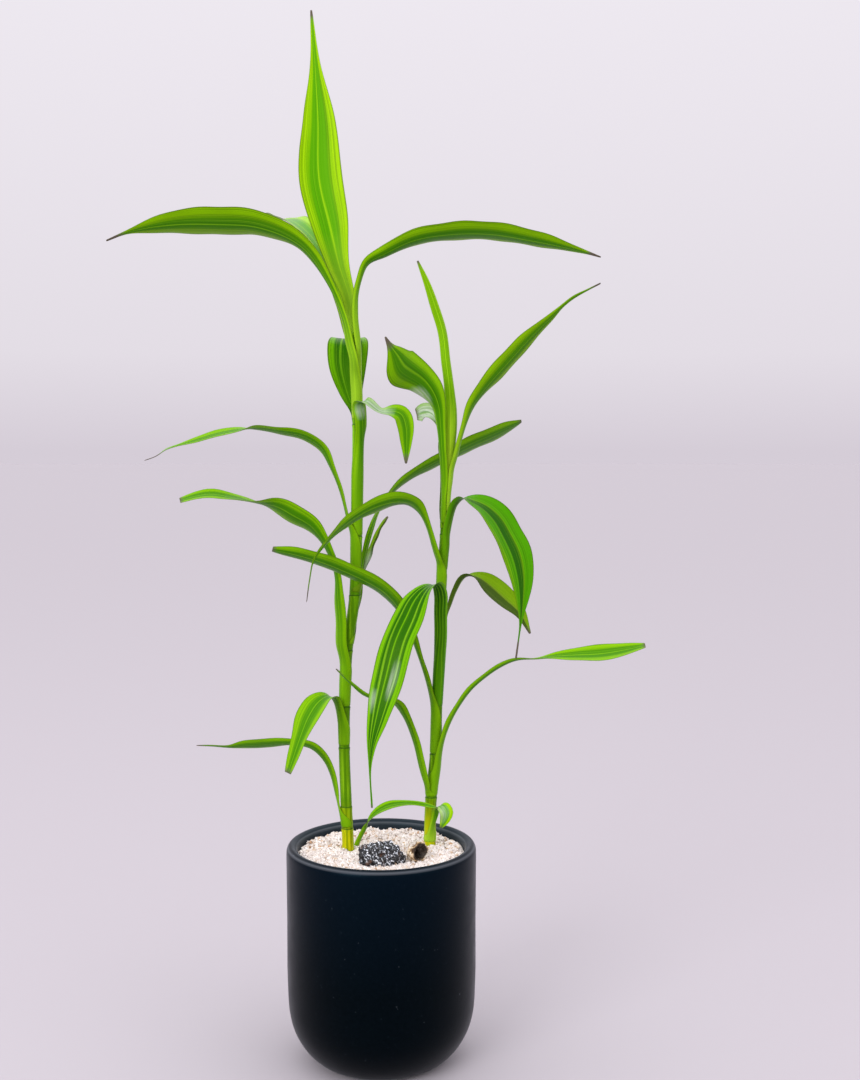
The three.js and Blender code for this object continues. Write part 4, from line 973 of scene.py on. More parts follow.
def snug_station(leaf, station):
    """Draws a station that runs close beside the cane in against it."""
    x, y, z = station[:3]
    cane = CANES[leaf["cane"]]
    axis_x, axis_y, radius = cane_at(cane, min(z, cane["path"][-1][2]))
    near, far = radius + SNUG_GAP, SNUG_REACH
    away = math.dist((axis_x, axis_y), (x, y))
    if not near < away < far:
        return station
    pull = (near + (far - near) * ((away - near) / (far - near)) ** 2) / away
    return (axis_x + (x - axis_x) * pull, axis_y + (y - axis_y) * pull, *station[2:])


def spaced_rows(controls):
    """Rows every few millimetres along a leaf, and how far along it each one lies."""
    knots = chord_knots(controls)
    curve = smooth_rows(knots, controls)
    rows, lengths = [], []
    for i in range(len(controls) - 1):
        span = knots[i + 1] - knots[i]
        steps = max(1, round(span / ROW_SPACING))
        for k in range(steps):
            rows.append(curve(i, k / steps))
            lengths.append(knots[i] + span * k / steps)
    return rows + [list(controls[-1])], lengths + [knots[-1]]


def leaf_rows(leaf):
    """Fine rows: place, way along, upper way, width, channel angle and length so far."""
    controls = sheath_rows(leaf) + [snug_station(leaf, s) for s in leaf["stations"]]
    rows, lengths = spaced_rows(controls)
    fine = []
    for i, (row, length) in enumerate(zip(rows, lengths)):
        before, after = rows[max(i - 1, 0)], rows[min(i + 1, len(rows) - 1)]
        along = (Vector(after[:3]) - Vector(before[:3])).normalized()
        up = Vector(row[5:8])
        up = (up - along * up.dot(along)).normalized()
        width = max(row[3], THREAD_WIDTH)
        fold = math.radians(max(row[4], TIP_FOLD))
        fine.append((Vector(row[:3]), along, up, width, fold, length))
    return fine


longest = max(LEAVES, key=lambda name: leaf_rows(LEAVES[name])[-1][-1])
print("longest leaf:", longest, round(leaf_rows(LEAVES[longest])[-1][-1]), "mm with its sheath")

# %% [markdown]
# A blade is never quite flat: its margins ripple where it is broad. Some tips have
# dried, some were cut, and a few leaves get patches of painted sheen, highlights laid
# into the colour. Those marks are stored in the mesh too, one number for each point.

# %% Describe the ripple and the marks
RIPPLE = 0.35
RIPPLE_LENGTH = 26
RIPPLE_LAG = 2.2
PHASE_STEP = 1.7
# The ripple starts past the sheath, over this length, and where a blade is this broad.
OPEN_REACH = 30
BROAD_WIDTH = 12
# The paler base of a leaf: its reach in millimetres, and at most this share of a leaf.
PALE_REACH = 75
PALE_SHARE = 0.4
# How many millimetres of a tip have dried. A tip that was cut has only a thin edge.
CUT_TIP = 1.6
DRY_FADE = 2
DRY_TIPS = {
    "leaf_left_13": 7, "leaf_left_10": 11, "leaf_left_11": 9, "leaf_left_06": 12,
    "leaf_left_08": 5, "leaf_right_05": 3, "leaf_right_06": 4, "leaf_right_07": 9,
    "leaf_right_08": 12, "leaf_right_10": 8, "leaf_right_11": 7, "leaf_right_12": 4,
    "leaf_left_02": 5, "leaf_left_05": 3, "leaf_right_02": 4,
}
# Patches of painted sheen: place along the leaf and across it, their reach along and across, and
# strength.
SHEEN_PATCHES = {
    "leaf_left_05": [(18, 0.5, 11, 0.9, 0.7)],
    "leaf_left_06": [(182, 0.4, 9, 0.5, 0.5)],
    "leaf_left_08": [(78, 0.5, 5, 0.45, 0.6), (96, 0.6, 13, 0.9, 0.9)],
    "leaf_right_01": [(36, 0.7, 9, 0.5, 0.6)],
    "leaf_right_05": [(153, 0.35, 14, 0.14, 0.75), (168, 0.85, 8, 0.12, 0.6)],
    "leaf_right_09": [(80, 0.5, 16, 1.0, 1.0)],
    "leaf_right_10": [(86, 0.9, 11, 0.32, 0.85)],
}


def leaf_point(row, share, phase, sheath_end):
    """A point of the blade's middle skin. Share is 0 at one margin and 1 at the other."""
    centre, along, up, width, fold, length = row
    side = along.cross(up)
    angle = fold * (share - 0.5)
    radius = width / fold
    edge = abs(2 * share - 1) ** 3
    open_blade = min(1, max(0, (length - sheath_end) / OPEN_REACH)) * min(1, width / BROAD_WIDTH)
    wave = RIPPLE * edge * open_blade * math.sin(
        math.tau * length / RIPPLE_LENGTH + phase + RIPPLE_LAG * share)
    offset = side * (radius * math.sin(angle)) + up * (radius * (1 - math.cos(angle)) + wave)
    return (centre + offset) * MM


def painted_sheen_at(name, length, share):
    """How much painted sheen a point gets, from the patches of its leaf."""
    total = 0
    for start, across, reach, width, strength in SHEEN_PATCHES.get(name, []):
        away = math.hypot((length - start) / reach, (share - across) / width)
        total = max(total, strength * max(0, 1 - away ** 2))
    return total


def mark_blade(blade, name, phase, shares, lengths):
    """Stores how pale and dry each point of a blade is, its painted sheen, and the leaf's number.
    """
    full = max(lengths)
    dry = DRY_TIPS.get(name, CUT_TIP)
    pale = min(PALE_REACH, PALE_SHARE * full)
    store(blade, "base_pale", [max(0, 1 - length / pale) for length in lengths])
    store(blade, "leaf_number", [phase] * len(lengths))
    store(blade, "dryness", [min(1, max(0, (length - full + dry) / DRY_FADE))
                             for length in lengths])
    store(blade, "painted_sheen", [painted_sheen_at(name, length, share)
                            for length, share in zip(lengths, shares)])


print("tips that dried:", len(DRY_TIPS), "leaves with silver:", len(SHEEN_PATCHES))

# %% [markdown]
# With the rows and the marks in hand, each leaf is laid in four steps: add the grid,
# mark it, thicken it, and name it.

# %% Lay the leaves
LEAF_COLUMNS = 14
BLADE_THICKNESS = 0.5
MARGIN_SHARE = 0.45
MARGIN_DROP = 0.9


def lay_grid(rows, phase, sheath_end):
    """A grid laid along the rows, with each point's share across and its own row."""
    deselect_all()
    bpy.ops.mesh.primitive_grid_add(
        x_subdivisions=LEAF_COLUMNS, y_subdivisions=len(rows) - 1, size=1)
    blade = bpy.context.object
    shares = [vertex.co.x + 0.5 for vertex in blade.data.vertices]
    own_rows = [rows[round((vertex.co.y + 0.5) * (len(rows) - 1))]
                for vertex in blade.data.vertices]
    for vertex, share, row in zip(blade.data.vertices, shares, own_rows):
        vertex.co = leaf_point(row, share, phase, sheath_end)
    return blade, shares, own_rows


def thicken(blade, shares):
    """Gives a blade its thickness, least at the margins, and rounds it."""
    body = blade.vertex_groups.new(name="body")
    for i, share in enumerate(shares):
        body.add([i], 1 - MARGIN_DROP * abs(2 * share - 1) ** 2, "REPLACE")
    add_modifier(blade, "SOLIDIFY", thickness=BLADE_THICKNESS * MM, offset=0,
                 vertex_group="body", thickness_vertex_group=MARGIN_SHARE)
    add_modifier(blade, "SUBSURF", levels=1, render_levels=1)
    # Painted shade: how far each point faces down, for the finish to darken.
    store(blade, "facing_down_shade", [max(0, -vertex.normal.z) for vertex in blade.data.vertices])


def grow_leaf(name, number):
    leaf = LEAVES[name]
    sheath_end = chord_knots(sheath_rows(leaf))[-1] if leaf["sheath"] else 0
    phase = number * PHASE_STEP
    blade, shares, own_rows = lay_grid(leaf_rows(leaf), phase, sheath_end)
    mark_blade(blade, name, phase, shares, [row[-1] for row in own_rows])
    thicken(blade, shares)
    blade.name = name.replace("leaf", "blade")
    blade.data.name = blade.name
    bpy.ops.object.shade_smooth()
    return blade


blades = {name: grow_leaf(name, number) for number, name in enumerate(LEAVES)}
print("blades laid:", len(blades))

# %% [markdown]
# ### The leaf's finish
# The blade is striped along its length: lime margins, a few dark green bands with
# light lines between them, and dozens of fine veins. The bands are a colour ramp
# across the UV map. A ramp's stops say where across the leaf a margin, a band or a
# line lies, and each kind of leaf has its own greens for the three.

# %% Choose the bands and the greens
MARGIN, BAND, LINE = range(3)
SOFT_BANDS = [
    (0.0, MARGIN), (0.20, MARGIN), (0.30, BAND), (0.44, BAND), (0.47, LINE), (0.50, BAND),
    (0.66, BAND), (0.80, MARGIN), (1.0, MARGIN),
]
SHARP_BANDS = [
    (0.0, MARGIN), (0.16, MARGIN), (0.21, BAND), (0.30, BAND), (0.33, LINE), (0.36, BAND),
    (0.52, BAND), (0.56, MARGIN), (0.61, BAND), (0.70, BAND), (0.73, LINE), (0.76, BAND),
    (0.82, BAND), (0.88, MARGIN), (1.0, MARGIN),
]
ONE_BAND = [
    (0.0, MARGIN), (0.36, MARGIN), (0.39, LINE), (0.43, BAND), (0.62, BAND), (0.70, MARGIN),
    (0.86, MARGIN), (0.93, LINE), (1.0, LINE),
]
HALF_BAND = [(0.0, MARGIN), (0.46, MARGIN), (0.50, LINE), (0.55, BAND), (1.0, BAND)]
# Greens are those of the margin, the dark bands and the light lines.
LEAF_KINDS = {
    "striped": {
        "greens": [(0.17, 0.40, 0.001), (0.050, 0.215, 0.001), (0.20, 0.45, 0.006)],
        "bands": SOFT_BANDS, "base": (0.15, 0.34, 0.003),
    },
    "crown": {
        "greens": [(0.20, 0.42, 0.001), (0.050, 0.215, 0.001), (0.20, 0.45, 0.006)],
        "bands": SOFT_BANDS, "base": (0.30, 0.52, 0.02),
    },
    "dark": {
        "greens": [(0.13, 0.38, 0.001), (0.010, 0.105, 0.001), (0.19, 0.45, 0.010)],
        "bands": SHARP_BANDS, "base": (0.07, 0.24, 0.002),
    },
    "deep": {
        "greens": [(0.050, 0.25, 0.001), (0.008, 0.085, 0.003), (0.15, 0.35, 0.003)],
        "bands": ONE_BAND, "base": (0.12, 0.30, 0.002),
    },
    "olive": {
        "greens": [(0.14, 0.28, 0.003), (0.035, 0.070, 0.006), (0.15, 0.25, 0.010)],
        "bands": HALF_BAND, "base": (0.13, 0.27, 0.004),
    },
    "young": {
        "greens": [(0.28, 0.54, 0.001), (0.075, 0.31, 0.001), (0.26, 0.52, 0.006)],
        "bands": SOFT_BANDS, "base": (0.36, 0.58, 0.03),
    },
    "spear": {
        "greens": [(0.27, 0.53, 0.002), (0.17, 0.42, 0.002), (0.32, 0.58, 0.015)],
        "bands": SOFT_BANDS, "base": (0.44, 0.64, 0.03),
    },
}
KIND_OF = {
    "leaf_left_09": "dark", "leaf_right_05": "dark", "leaf_right_08": "deep",
    "leaf_right_06": "olive", "leaf_left_05": "olive",
    "leaf_left_10": "crown", "leaf_left_11": "crown", "leaf_right_11": "crown",
    "leaf_left_12": "young", "leaf_left_13": "young", "leaf_right_01": "young",
    "leaf_right_12": "spear",
}
print("kinds of leaf:", ", ".join(LEAF_KINDS))

# %% [markdown]
# Noise pushes the bands sideways a little. Each leaf carries a number of its own that
# moves the noise, so no two leaves are striped alike. A thin olive line runs along
# each edge, and the base is paler. Painted shade darkens the blade where it faces down.
# Painted sheen and the dried tips come last, on top of everything.

# %% Write the leaf's finish
WOBBLE = 0.26
WOBBLE_STRETCH = (3.5, 1.2, 1)
VEIN_STRETCH = (60, 0.9, 1)
BLOOM_STRETCH = (14, 7, 1)
EDGE_LINES = [(0.0, 0.8), (0.025, 0.5), (0.04, 0.0), (0.96, 0.0), (0.975, 0.5), (1.0, 0.8)]
EDGE_OLIVE = (0.055, 0.085, 0.004)
# Painted shade: the colour of faces turned down is multiplied by this.
PAINTED_UNDERSIDE_SHADE = (0.80, 0.84, 0.74)
VEIN_DARK = (0.022, 0.105, 0.001)
VEIN_LIGHT = (0.30, 0.54, 0.02)
# Painted sheen: a pale grey laid over the colour where a leaf shone.
PAINTED_SHEEN_GREY = (0.50, 0.58, 0.46)
DRY_GREY = (0.10, 0.080, 0.062)


def place_on_leaf(skin, uv):
    """Across and along the leaf, with the leaf's own number as the third way."""
    place = add_node(skin, "CombineXYZ")
    join(skin, uv["X"], place.inputs["X"])
    join(skin, uv["Y"], place.inputs["Y"])
    join(skin, attribute(skin, "leaf_number"), place.inputs["Z"])
    return place.outputs[0]


def stripes(skin, on_leaf, across, greens, bands):
    """The bands across a leaf, pushed a little to either side by slow noise."""
    slow = noise(skin, on_leaf, scale=1, detail=1, stretch=WOBBLE_STRETCH)
    lowest = math_node(skin, "SUBTRACT", across, WOBBLE / 2)
    shifted = math_node(skin, "MULTIPLY_ADD", slow, WOBBLE, lowest)
    return ramp(skin, shifted, [(place, greens[kind]) for place, kind in bands])


def painted_sheen_bloom(skin, on_leaf):
    """The painted sheen patches, broken up by blotchy noise."""
    blotches = noise(skin, on_leaf, scale=1, detail=3, stretch=BLOOM_STRETCH)
    strength = ramp(skin, blotches, [(0.35, 0.25), (0.6, 1.0)])
    return math_node(skin, "MULTIPLY", strength, attribute(skin, "painted_sheen"))


def leaf_skin(name, greens, bands, base):
    skin = new_material(name, **PLANT_GLOSS)
    uv = split(skin, coordinates(skin, "UV"))
    on_leaf = place_on_leaf(skin, uv)
    veins = noise(skin, on_leaf, scale=1, detail=3, stretch=VEIN_STRETCH)
    root, below = attribute(skin, "base_pale"), attribute(skin, "facing_down_shade")
    colour = stripes(skin, on_leaf, uv["X"], greens, bands)
    colour = tint(skin, veins, [(0.36, 0.55), (0.46, 0.0)], colour, VEIN_DARK)
    colour = tint(skin, veins, [(0.58, 0.0), (0.70, 0.35)], colour, VEIN_LIGHT)
    colour = tint(skin, root, [(0.0, 0.0), (0.9, 0.8)], colour, base)
    colour = tint(skin, uv["X"], EDGE_LINES, colour, EDGE_OLIVE)
    # Painted shade where the blade faces down.
    colour = tint(skin, below, [(0.05, 0.0), (0.55, 1.0)], colour, PAINTED_UNDERSIDE_SHADE, "MULTIPLY")
    # Painted sheen on top of the colour.
    colour = mix(skin, painted_sheen_bloom(skin, on_leaf), colour, PAINTED_SHEEN_GREY)
    colour = mix(skin, attribute(skin, "dryness"), colour, DRY_GREY)
    feed(skin, "Base Color", colour)
    bump(skin, veins, strength=0.35, distance=0.0003)
    return skin


leaf_finishes = {kind: leaf_skin(kind + "_leaf", **look) for kind, look in LEAF_KINDS.items()}
print("leaf finishes:", len(leaf_finishes))

# %% [markdown]
# Each leaf now gets the finish of its kind and stands for its CAD node. The palest
# ones are still young.

# %% Dress the leaves
YOUNG_SLOT = ("leaf_left_13", "leaf_right_01", "leaf_right_12")
for name, blade in blades.items():
    slot = "young_leaf" if name in YOUNG_SLOT else "leaf"
    hand_over(blade, leaf_finishes[KIND_OF.get(name, "striped")], slot, name)

# %% [markdown]
# ## The gravel
# The pot is filled almost to its lip with crushed white stone, grains of two or three
# millimetres. Only the top layer is ever seen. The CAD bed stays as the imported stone
# underneath, and a few thousand separate grains are scattered over it. Five grains are
# modelled, each a rough twenty-faced ball, and all the others are turned and scaled
# copies of them in one mesh.

# %% Model five grains
GRAIN_KINDS = 5
FIRST_GRAIN_SEED = 3


def rough_grain(kind):
    """Points and faces of one grain about 1 in radius, narrower for a higher kind."""
    deselect_all()
    bpy.ops.mesh.primitive_ico_sphere_add(subdivisions=1, radius=1, location=(0, 0, 0))
    grain = bpy.context.object
    bpy.ops.object.mode_set(mode="EDIT")
    bpy.ops.mesh.select_all(action="SELECT")
    bpy.ops.transform.vertex_random(
        offset=0.35, uniform=0.2, normal=0.6, seed=kind + FIRST_GRAIN_SEED)
    bpy.ops.transform.resize(value=(1.15, 0.95 - 0.06 * kind, 0.8), center_override=(0, 0, 0))
    bpy.ops.object.mode_set(mode="OBJECT")
    points = np.array([v.co[:] for v in grain.data.vertices])
    faces = np.array([f.vertices[:] for f in grain.data.polygons])
    bpy.data.objects.remove(grain)
    return points, faces


grain_shapes = [rough_grain(kind) for kind in range(GRAIN_KINDS)]
grain_corners = len(grain_shapes[0][0])
print("corners and faces of a grain:", grain_corners, len(grain_shapes[0][1]))

# %% [markdown]
# The bed is heaped in low waves, sinks a little towards the wall, and is level under
# the charcoal and the bark. Sunflower spots cover it evenly, and a little shaking hides
# the pattern. A spot that would touch a cane or the wall is left out.

# %% Find the grains' places
GRAVEL_RADIUS = 52.4
GRAVEL_TOP = 132.5
EDGE_FALL = 1.2
BED_EDGE = 53
# The level ground under the charcoal and the bark: an oval, and how softly it ends.
LEVEL_CENTRE = (8, -22.75)
LEVEL_STRETCH = 1.7
LEVEL_RADIUS = 14
LEVEL_FADE = 5
SEAT_DEPTH = 0.6
GRAIN_COUNT = 5200
GRAIN_SIZE = 1.25
SIZE_RANGE = (0.7, 1.25)
SHAKE_RANGE = (-0.5, 0.5)
SINK_RANGE = (-0.7, 0.5)
# A grain keeps this many of its own sizes away from a cane and from the wall.
OFF_CANE = 0.6
OFF_WALL = 0.8
GOLDEN_TURN = math.pi * (3 - math.sqrt(5))
CANE_FEET = [cane_at(cane, GRAVEL_TOP) for cane in CANES.values()]


def gravel_height(x, y):
    """Height of the heaped bed, level under the charcoal and the bark."""
    heap = 0.9 * math.sin(x * 0.21 + 1) * math.cos(y * 0.18)
    heap += 0.7 * math.sin(x * 0.47 - y * 0.39) + 0.5 * math.cos(y * 0.61 + x * 0.1)
    fall = -EDGE_FALL * (math.hypot(x, y) / BED_EDGE) ** 6
    away = math.hypot((x - LEVEL_CENTRE[0]) / LEVEL_STRETCH, y - LEVEL_CENTRE[1])
    waves = min(1, max(0, (away - LEVEL_RADIUS) / LEVEL_FADE))
    return GRAVEL_TOP - SEAT_DEPTH * (1 - waves) + heap * waves + fall


def grain_spots(dice):
    """Centres and sizes of the grains, in a sunflower pattern shaken about."""
    for k in range(GRAIN_COUNT):
        out = GRAVEL_RADIUS * math.sqrt((k + 0.5) / GRAIN_COUNT)
        x = out * math.cos(k * GOLDEN_TURN) + dice.uniform(*SHAKE_RANGE)
        y = out * math.sin(k * GOLDEN_TURN) + dice.uniform(*SHAKE_RANGE)
        size = GRAIN_SIZE * dice.uniform(*SIZE_RANGE)
        z = gravel_height(x, y) + dice.uniform(*SINK_RANGE)
        clear = all(math.hypot(x - a, y - b) > r + OFF_CANE * size for a, b, r in CANE_FEET)
        if clear and math.hypot(x, y) < GRAVEL_RADIUS - OFF_WALL * size:
            yield x, y, z, size


print("canes at the stones, in mm:", [[round(v, 1) for v in foot] for foot in CANE_FEET])

# %% Scatter the grains over the heaped surface
GRAIN_SEED = 11
# Most of the rust-brown grains, those of the highest tones, lie behind this line.
RUST_FROM = 4
FRONT_TONES = 0.93


def random_axes(dice):
    """Three axes at right angles, turned at random."""
    draws = np.array([[dice.gauss(0, 1) for _ in range(3)] for _ in range(3)])
    axes, _ = np.linalg.qr(draws.T)
    if np.linalg.det(axes) < 0:
        axes[:, 0] *= -1
    return axes


def scatter_grains(dice):
    points, faces, tones = [], [], []
    for x, y, z, size in grain_spots(dice):
        corners, sides = grain_shapes[dice.randrange(GRAIN_KINDS)]
        faces.append(sides + grain_corners * len(points))
        points.append(((corners * size) @ random_axes(dice).T + (x, y, z)) * MM)
        tones.append(dice.random() * (1 if y > RUST_FROM else FRONT_TONES))
    mesh = bpy.data.meshes.new("gravel_grains")
    mesh.from_pydata(np.concatenate(points).tolist(), [], np.concatenate(faces).tolist())
    grains = bpy.data.objects.new("gravel_grains", mesh)
    bpy.context.scene.collection.objects.link(grains)
    store(grains, "grain_tone", np.repeat(tones, grain_corners))
    print("grains:", len(tones))
    return grains


grains = scatter_grains(random.Random(GRAIN_SEED))

# %% [markdown]
# Crushed quartz is mostly cream and pinkish white, with tan, rust-brown and grey bits
# among it. Each grain carries one random number, and a ramp turns it into the grain's
# colour. A little noise clouds every stone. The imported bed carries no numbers, so it
# takes the first colour, well clouded, as what shows between the grains.

# %% Finish the gravel
STONE_TONES = [
    (0.0, (0.82, 0.75, 0.71)), (0.25, (0.91, 0.88, 0.87)), (0.5, (0.67, 0.59, 0.55)),
    (0.78, (0.87, 0.82, 0.79)), (0.90, (0.60, 0.44, 0.30)), (0.95, (0.48, 0.24, 0.09)),
    (0.98, (0.22, 0.16, 0.12)),
]
CLOUD_GREY = (0.58, 0.51, 0.47)


def stone_finish(name, clouding):
    stone = new_material(name, Roughness=0.75)
    cloud = noise(stone, coordinates(stone), scale=700, detail=4)
    colour = ramp(stone, attribute(stone, "grain_tone"), STONE_TONES)
    colour = tint(stone, cloud, [(0.35, 0.0), (0.7, clouding)], colour, CLOUD_GREY)
    feed(stone, "Base Color", colour)
    bump(stone, cloud, strength=0.4, distance=0.0003)
    return stone


hand_over(grains, stone_finish("crushed_stone", 0.5), "gravel")
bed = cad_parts["gravel"]
bed.data.materials.clear()
bed.data.materials.append(stone_finish("stone_bed", 1.0))

# %% [markdown]
# ## The charcoal
# A lump of charcoal lies in front of the canes. It broke along flat faces, and its
# surface is crumbly. A ball is cut by a dozen and a half seeded bisects and one level
# one underneath, squashed to the lump's size and meshed afresh in even squares. Two
# displace modifiers then roughen it: grooves first, then crumbs.

# %% Break the charcoal into shape
CHARCOAL_SEED = 5
CHARCOAL_CUTS = 18
CUT_NEAR, CUT_FAR = 0.74, 0.92
LEVEL_CUT = 0.42


def break_lump(dice):
    """A unit ball with flat faces broken off it, and a level cut below its middle."""
    deselect_all()
    bpy.ops.mesh.primitive_ico_sphere_add(subdivisions=4, radius=1, location=(0, 0, 0))
    bpy.ops.object.mode_set(mode="EDIT")
    planes = []
    for _ in range(CHARCOAL_CUTS):
        way = Vector([dice.gauss(0, 1) for _ in range(3)]).normalized()
        planes.append((way, dice.uniform(CUT_NEAR, CUT_FAR)))
    planes.append((Vector((0, 0, -1)), LEVEL_CUT))
    for way, reach in planes:
        bpy.ops.mesh.select_all(action="SELECT")
        bpy.ops.mesh.bisect(plane_co=way * reach, plane_no=way, clear_outer=True, use_fill=True)
    bpy.ops.object.mode_set(mode="OBJECT")
    return bpy.context.object


charcoal = break_lump(random.Random(CHARCOAL_SEED))
print("points of the broken ball:", len(charcoal.data.vertices))

# %% [markdown]
# The ball's faces are large and uneven, and a displacement needs small even ones, so
# the sized lump is meshed afresh. Voronoi cells then dent it. They look more like
# broken charcoal than soft clouds do, and need no sculpting by hand.

# %% Roughen the charcoal
CHARCOAL_PLACE = (1.2, -24)
CHARCOAL_SEAT = 131.2
CHARCOAL_SIZE = (16, 9, 10.6)
CHARCOAL_FACE = 0.3
# Textures that roughen a surface: kind, size and strength, both in metres.
GROOVES = ("VORONOI", 0.0034, 0.0026)
CRUMBS = ("VORONOI", 0.0012, 0.0015)


def displace(piece, kind, size, strength):
    """Displaces a mesh along its normals by a procedural texture, and applies it."""
    texture = bpy.data.textures.new(piece.name + kind.lower(), kind)
    texture.noise_scale = size
    add_modifier(piece, "DISPLACE", texture=texture, texture_coords="LOCAL",
                 strength=strength, mid_level=0.5)


def shape_charcoal(lump):
    """Sizes the broken ball, sets its level cut on the stones, and roughens it."""
    lump.scale = [size * MM for size in CHARCOAL_SIZE]
    seat = CHARCOAL_SEAT + LEVEL_CUT * CHARCOAL_SIZE[2]
    lump.location = (CHARCOAL_PLACE[0] * MM, CHARCOAL_PLACE[1] * MM, seat * MM)
    finish_shape(lump, "charcoal_lump")
    add_modifier(lump, "REMESH", mode="VOXEL", voxel_size=CHARCOAL_FACE * MM)
    for roughness in (GROOVES, CRUMBS):
        displace(lump, *roughness)
    bpy.ops.object.shade_smooth()


shape_charcoal(charcoal)
print("charcoal points:", len(charcoal.data.vertices))

# %% [markdown]
# Charcoal keeps the fibres of its wood, which glint where they break. The glints are
# painted highlights: noise stretched along fibres that lean, laid pale into the colour
# in patches over near black, with a few places of unburnt brown.

# %% Finish the charcoal
FIBRE_STRETCH = (1000, 800, 420)
FIBRE_LEAN = (0.2, 0.8, 0.3)
# The pale tones are painted glints: highlights laid into the colour.
FIBRE_GLINT_TONES = [
    (0.50, (0.001, 0.001, 0.002)), (0.54, (0.010, 0.012, 0.020)),
    (0.56, (0.28, 0.32, 0.40)), (0.62, (0.85, 0.87, 0.92)),
]
CHARCOAL_BLACK = (0.004, 0.004, 0.006)
UNBURNT_BROWN = (0.10, 0.040, 0.018)


def charcoal_finish():
    coal = new_material("charcoal_black", Roughness=0.35)
    place = coordinates(coal)
    leaning = add_node(coal, "VectorRotate", rotation_type="EULER_XYZ", Rotation=FIBRE_LEAN)
    join(coal, place, leaning.inputs["Vector"])
    fibres = noise(coal, leaning.outputs["Vector"], scale=1, detail=2, stretch=FIBRE_STRETCH)
    patches = noise(coal, place, scale=210, detail=3)
    burns = noise(coal, place, scale=160, detail=2)
    colour = ramp(coal, fibres, FIBRE_GLINT_TONES)
    colour = tint(coal, patches, [(0.40, 1.0), (0.55, 0.0)], colour, CHARCOAL_BLACK)
    colour = tint(coal, burns, [(0.60, 0.0), (0.68, 0.7)], colour, UNBURNT_BROWN)
    feed(coal, "Base Color", colour)
    bump(coal, fibres, strength=0.7, distance=0.0005)
    return coal


hand_over(charcoal, charcoal_finish(), "charcoal", "charcoal")

# %% [markdown]
# ## The bark curl
# Beside the charcoal lies a strip of bark that curled up nearly into a ring, tighter at
# its far end. A circle is extruded to the strip's width, narrowing as it goes, and
# opened by deleting part of it. Solidify thickens it inwards and puts the new inner
# skin in a vertex group, which the finish reads to paint shade into the hollow. A
# displace modifier roughens it all.

# %% Roll the bark and open it
BARK_RADIUS = 6.6
BARK_LENGTH = 9.4
BARK_SIDES = 72
BARK_STEPS = 12
BARK_NARROWING = 0.95
BARK_GAP = (262, 292)


def roll_bark():
    """A roll along Y that gets tighter as it goes, while its bottom stays level."""
    deselect_all()
    bpy.ops.mesh.primitive_circle_add(
        vertices=BARK_SIDES, radius=BARK_RADIUS * MM, fill_type="NOTHING",
        location=(0, 0, 0), rotation=(math.pi / 2, 0, 0))
    bpy.ops.object.transform_apply(rotation=True)
    bpy.ops.object.mode_set(mode="EDIT")
    bpy.ops.mesh.select_all(action="SELECT")
    bpy.ops.transform.translate(value=(0, -BARK_LENGTH / 2 * MM, 0))
    for k in range(1, BARK_STEPS + 1):
        step = {"value": (0, BARK_LENGTH / BARK_STEPS * MM, 0)}
        bpy.ops.mesh.extrude_region_move(TRANSFORM_OT_translate=step)
        bottom = (0, BARK_LENGTH * (k / BARK_STEPS - 0.5) * MM, -BARK_RADIUS * MM)
        narrowing = (BARK_NARROWING, 1, BARK_NARROWING)
        bpy.ops.transform.resize(value=narrowing, center_override=bottom)
    bpy.ops.mesh.select_all(action="DESELECT")
    bpy.ops.object.mode_set(mode="OBJECT")
    return bpy.context.object


def open_roll(roll):
    """Deletes the faces between the two angles of the gap, seen along the roll."""
    for face in roll.data.polygons:
        share = face.center.y / (BARK_LENGTH * MM) + 0.5
        middle = (BARK_NARROWING ** (share * BARK_STEPS) - 1) * BARK_RADIUS * MM
        angle = math.degrees(math.atan2(face.center.z - middle, face.center.x)) % 360
        face.select = BARK_GAP[0] < angle < BARK_GAP[1]
    bpy.ops.object.mode_set(mode="EDIT")
    bpy.ops.mesh.select_mode(type="FACE")
    bpy.ops.mesh.delete(type="FACE")
    bpy.ops.mesh.select_all(action="SELECT")
    bpy.ops.mesh.normals_make_consistent(inside=False)
    bpy.ops.object.mode_set(mode="OBJECT")


bark = roll_bark()
open_roll(bark)
print("faces of the open roll:", len(bark.data.polygons))

# %% [markdown]
# The open roll gets its wall only now, because a wall added earlier would have to be
# opened twice. It is then rounded, turned to its place on the stones, and roughened
# by soft clouds, which leave its torn edges uneven.

# %% Thicken and place the bark
BARK_WALL = 1.9
BARK_TURN = math.radians(40)
BARK_PLACE = (21.5, -19.5)
BARK_SEAT = 132.3
RUGGED = ("CLOUDS", 0.0026, 0.0030)


def group_weights(piece, name):
    """How far each point belongs to a vertex group."""
    index = piece.vertex_groups[name].index
    return [sum(entry.weight for entry in vertex.groups if entry.group == index)
            for vertex in piece.data.vertices]


def shape_bark(curl):
    """Gives the open roll its wall, marks its hollow, and sets it on the stones."""
    curl.vertex_groups.new(name="inner_skin")
    add_modifier(curl, "SOLIDIFY", thickness=BARK_WALL * MM, offset=-1,
                 shell_vertex_group="inner_skin")
    add_modifier(curl, "SUBSURF", levels=2, render_levels=2)
    store(curl, "hollow", group_weights(curl, "inner_skin"))
    curl.rotation_euler = (0, 0, BARK_TURN)
    curl.location = (BARK_PLACE[0] * MM, BARK_PLACE[1] * MM, (BARK_SEAT + BARK_RADIUS) * MM)
    finish_shape(curl, "bark_ring")
    displace(curl, *RUGGED)


shape_bark(bark)
print("bark points:", len(bark.data.vertices))

# %% [markdown]
# Dry bark is tan and cream over a dark brown grain. Its hollow is painted near black,
# as shade.
# One noise gives the grain both its colours and its bump.

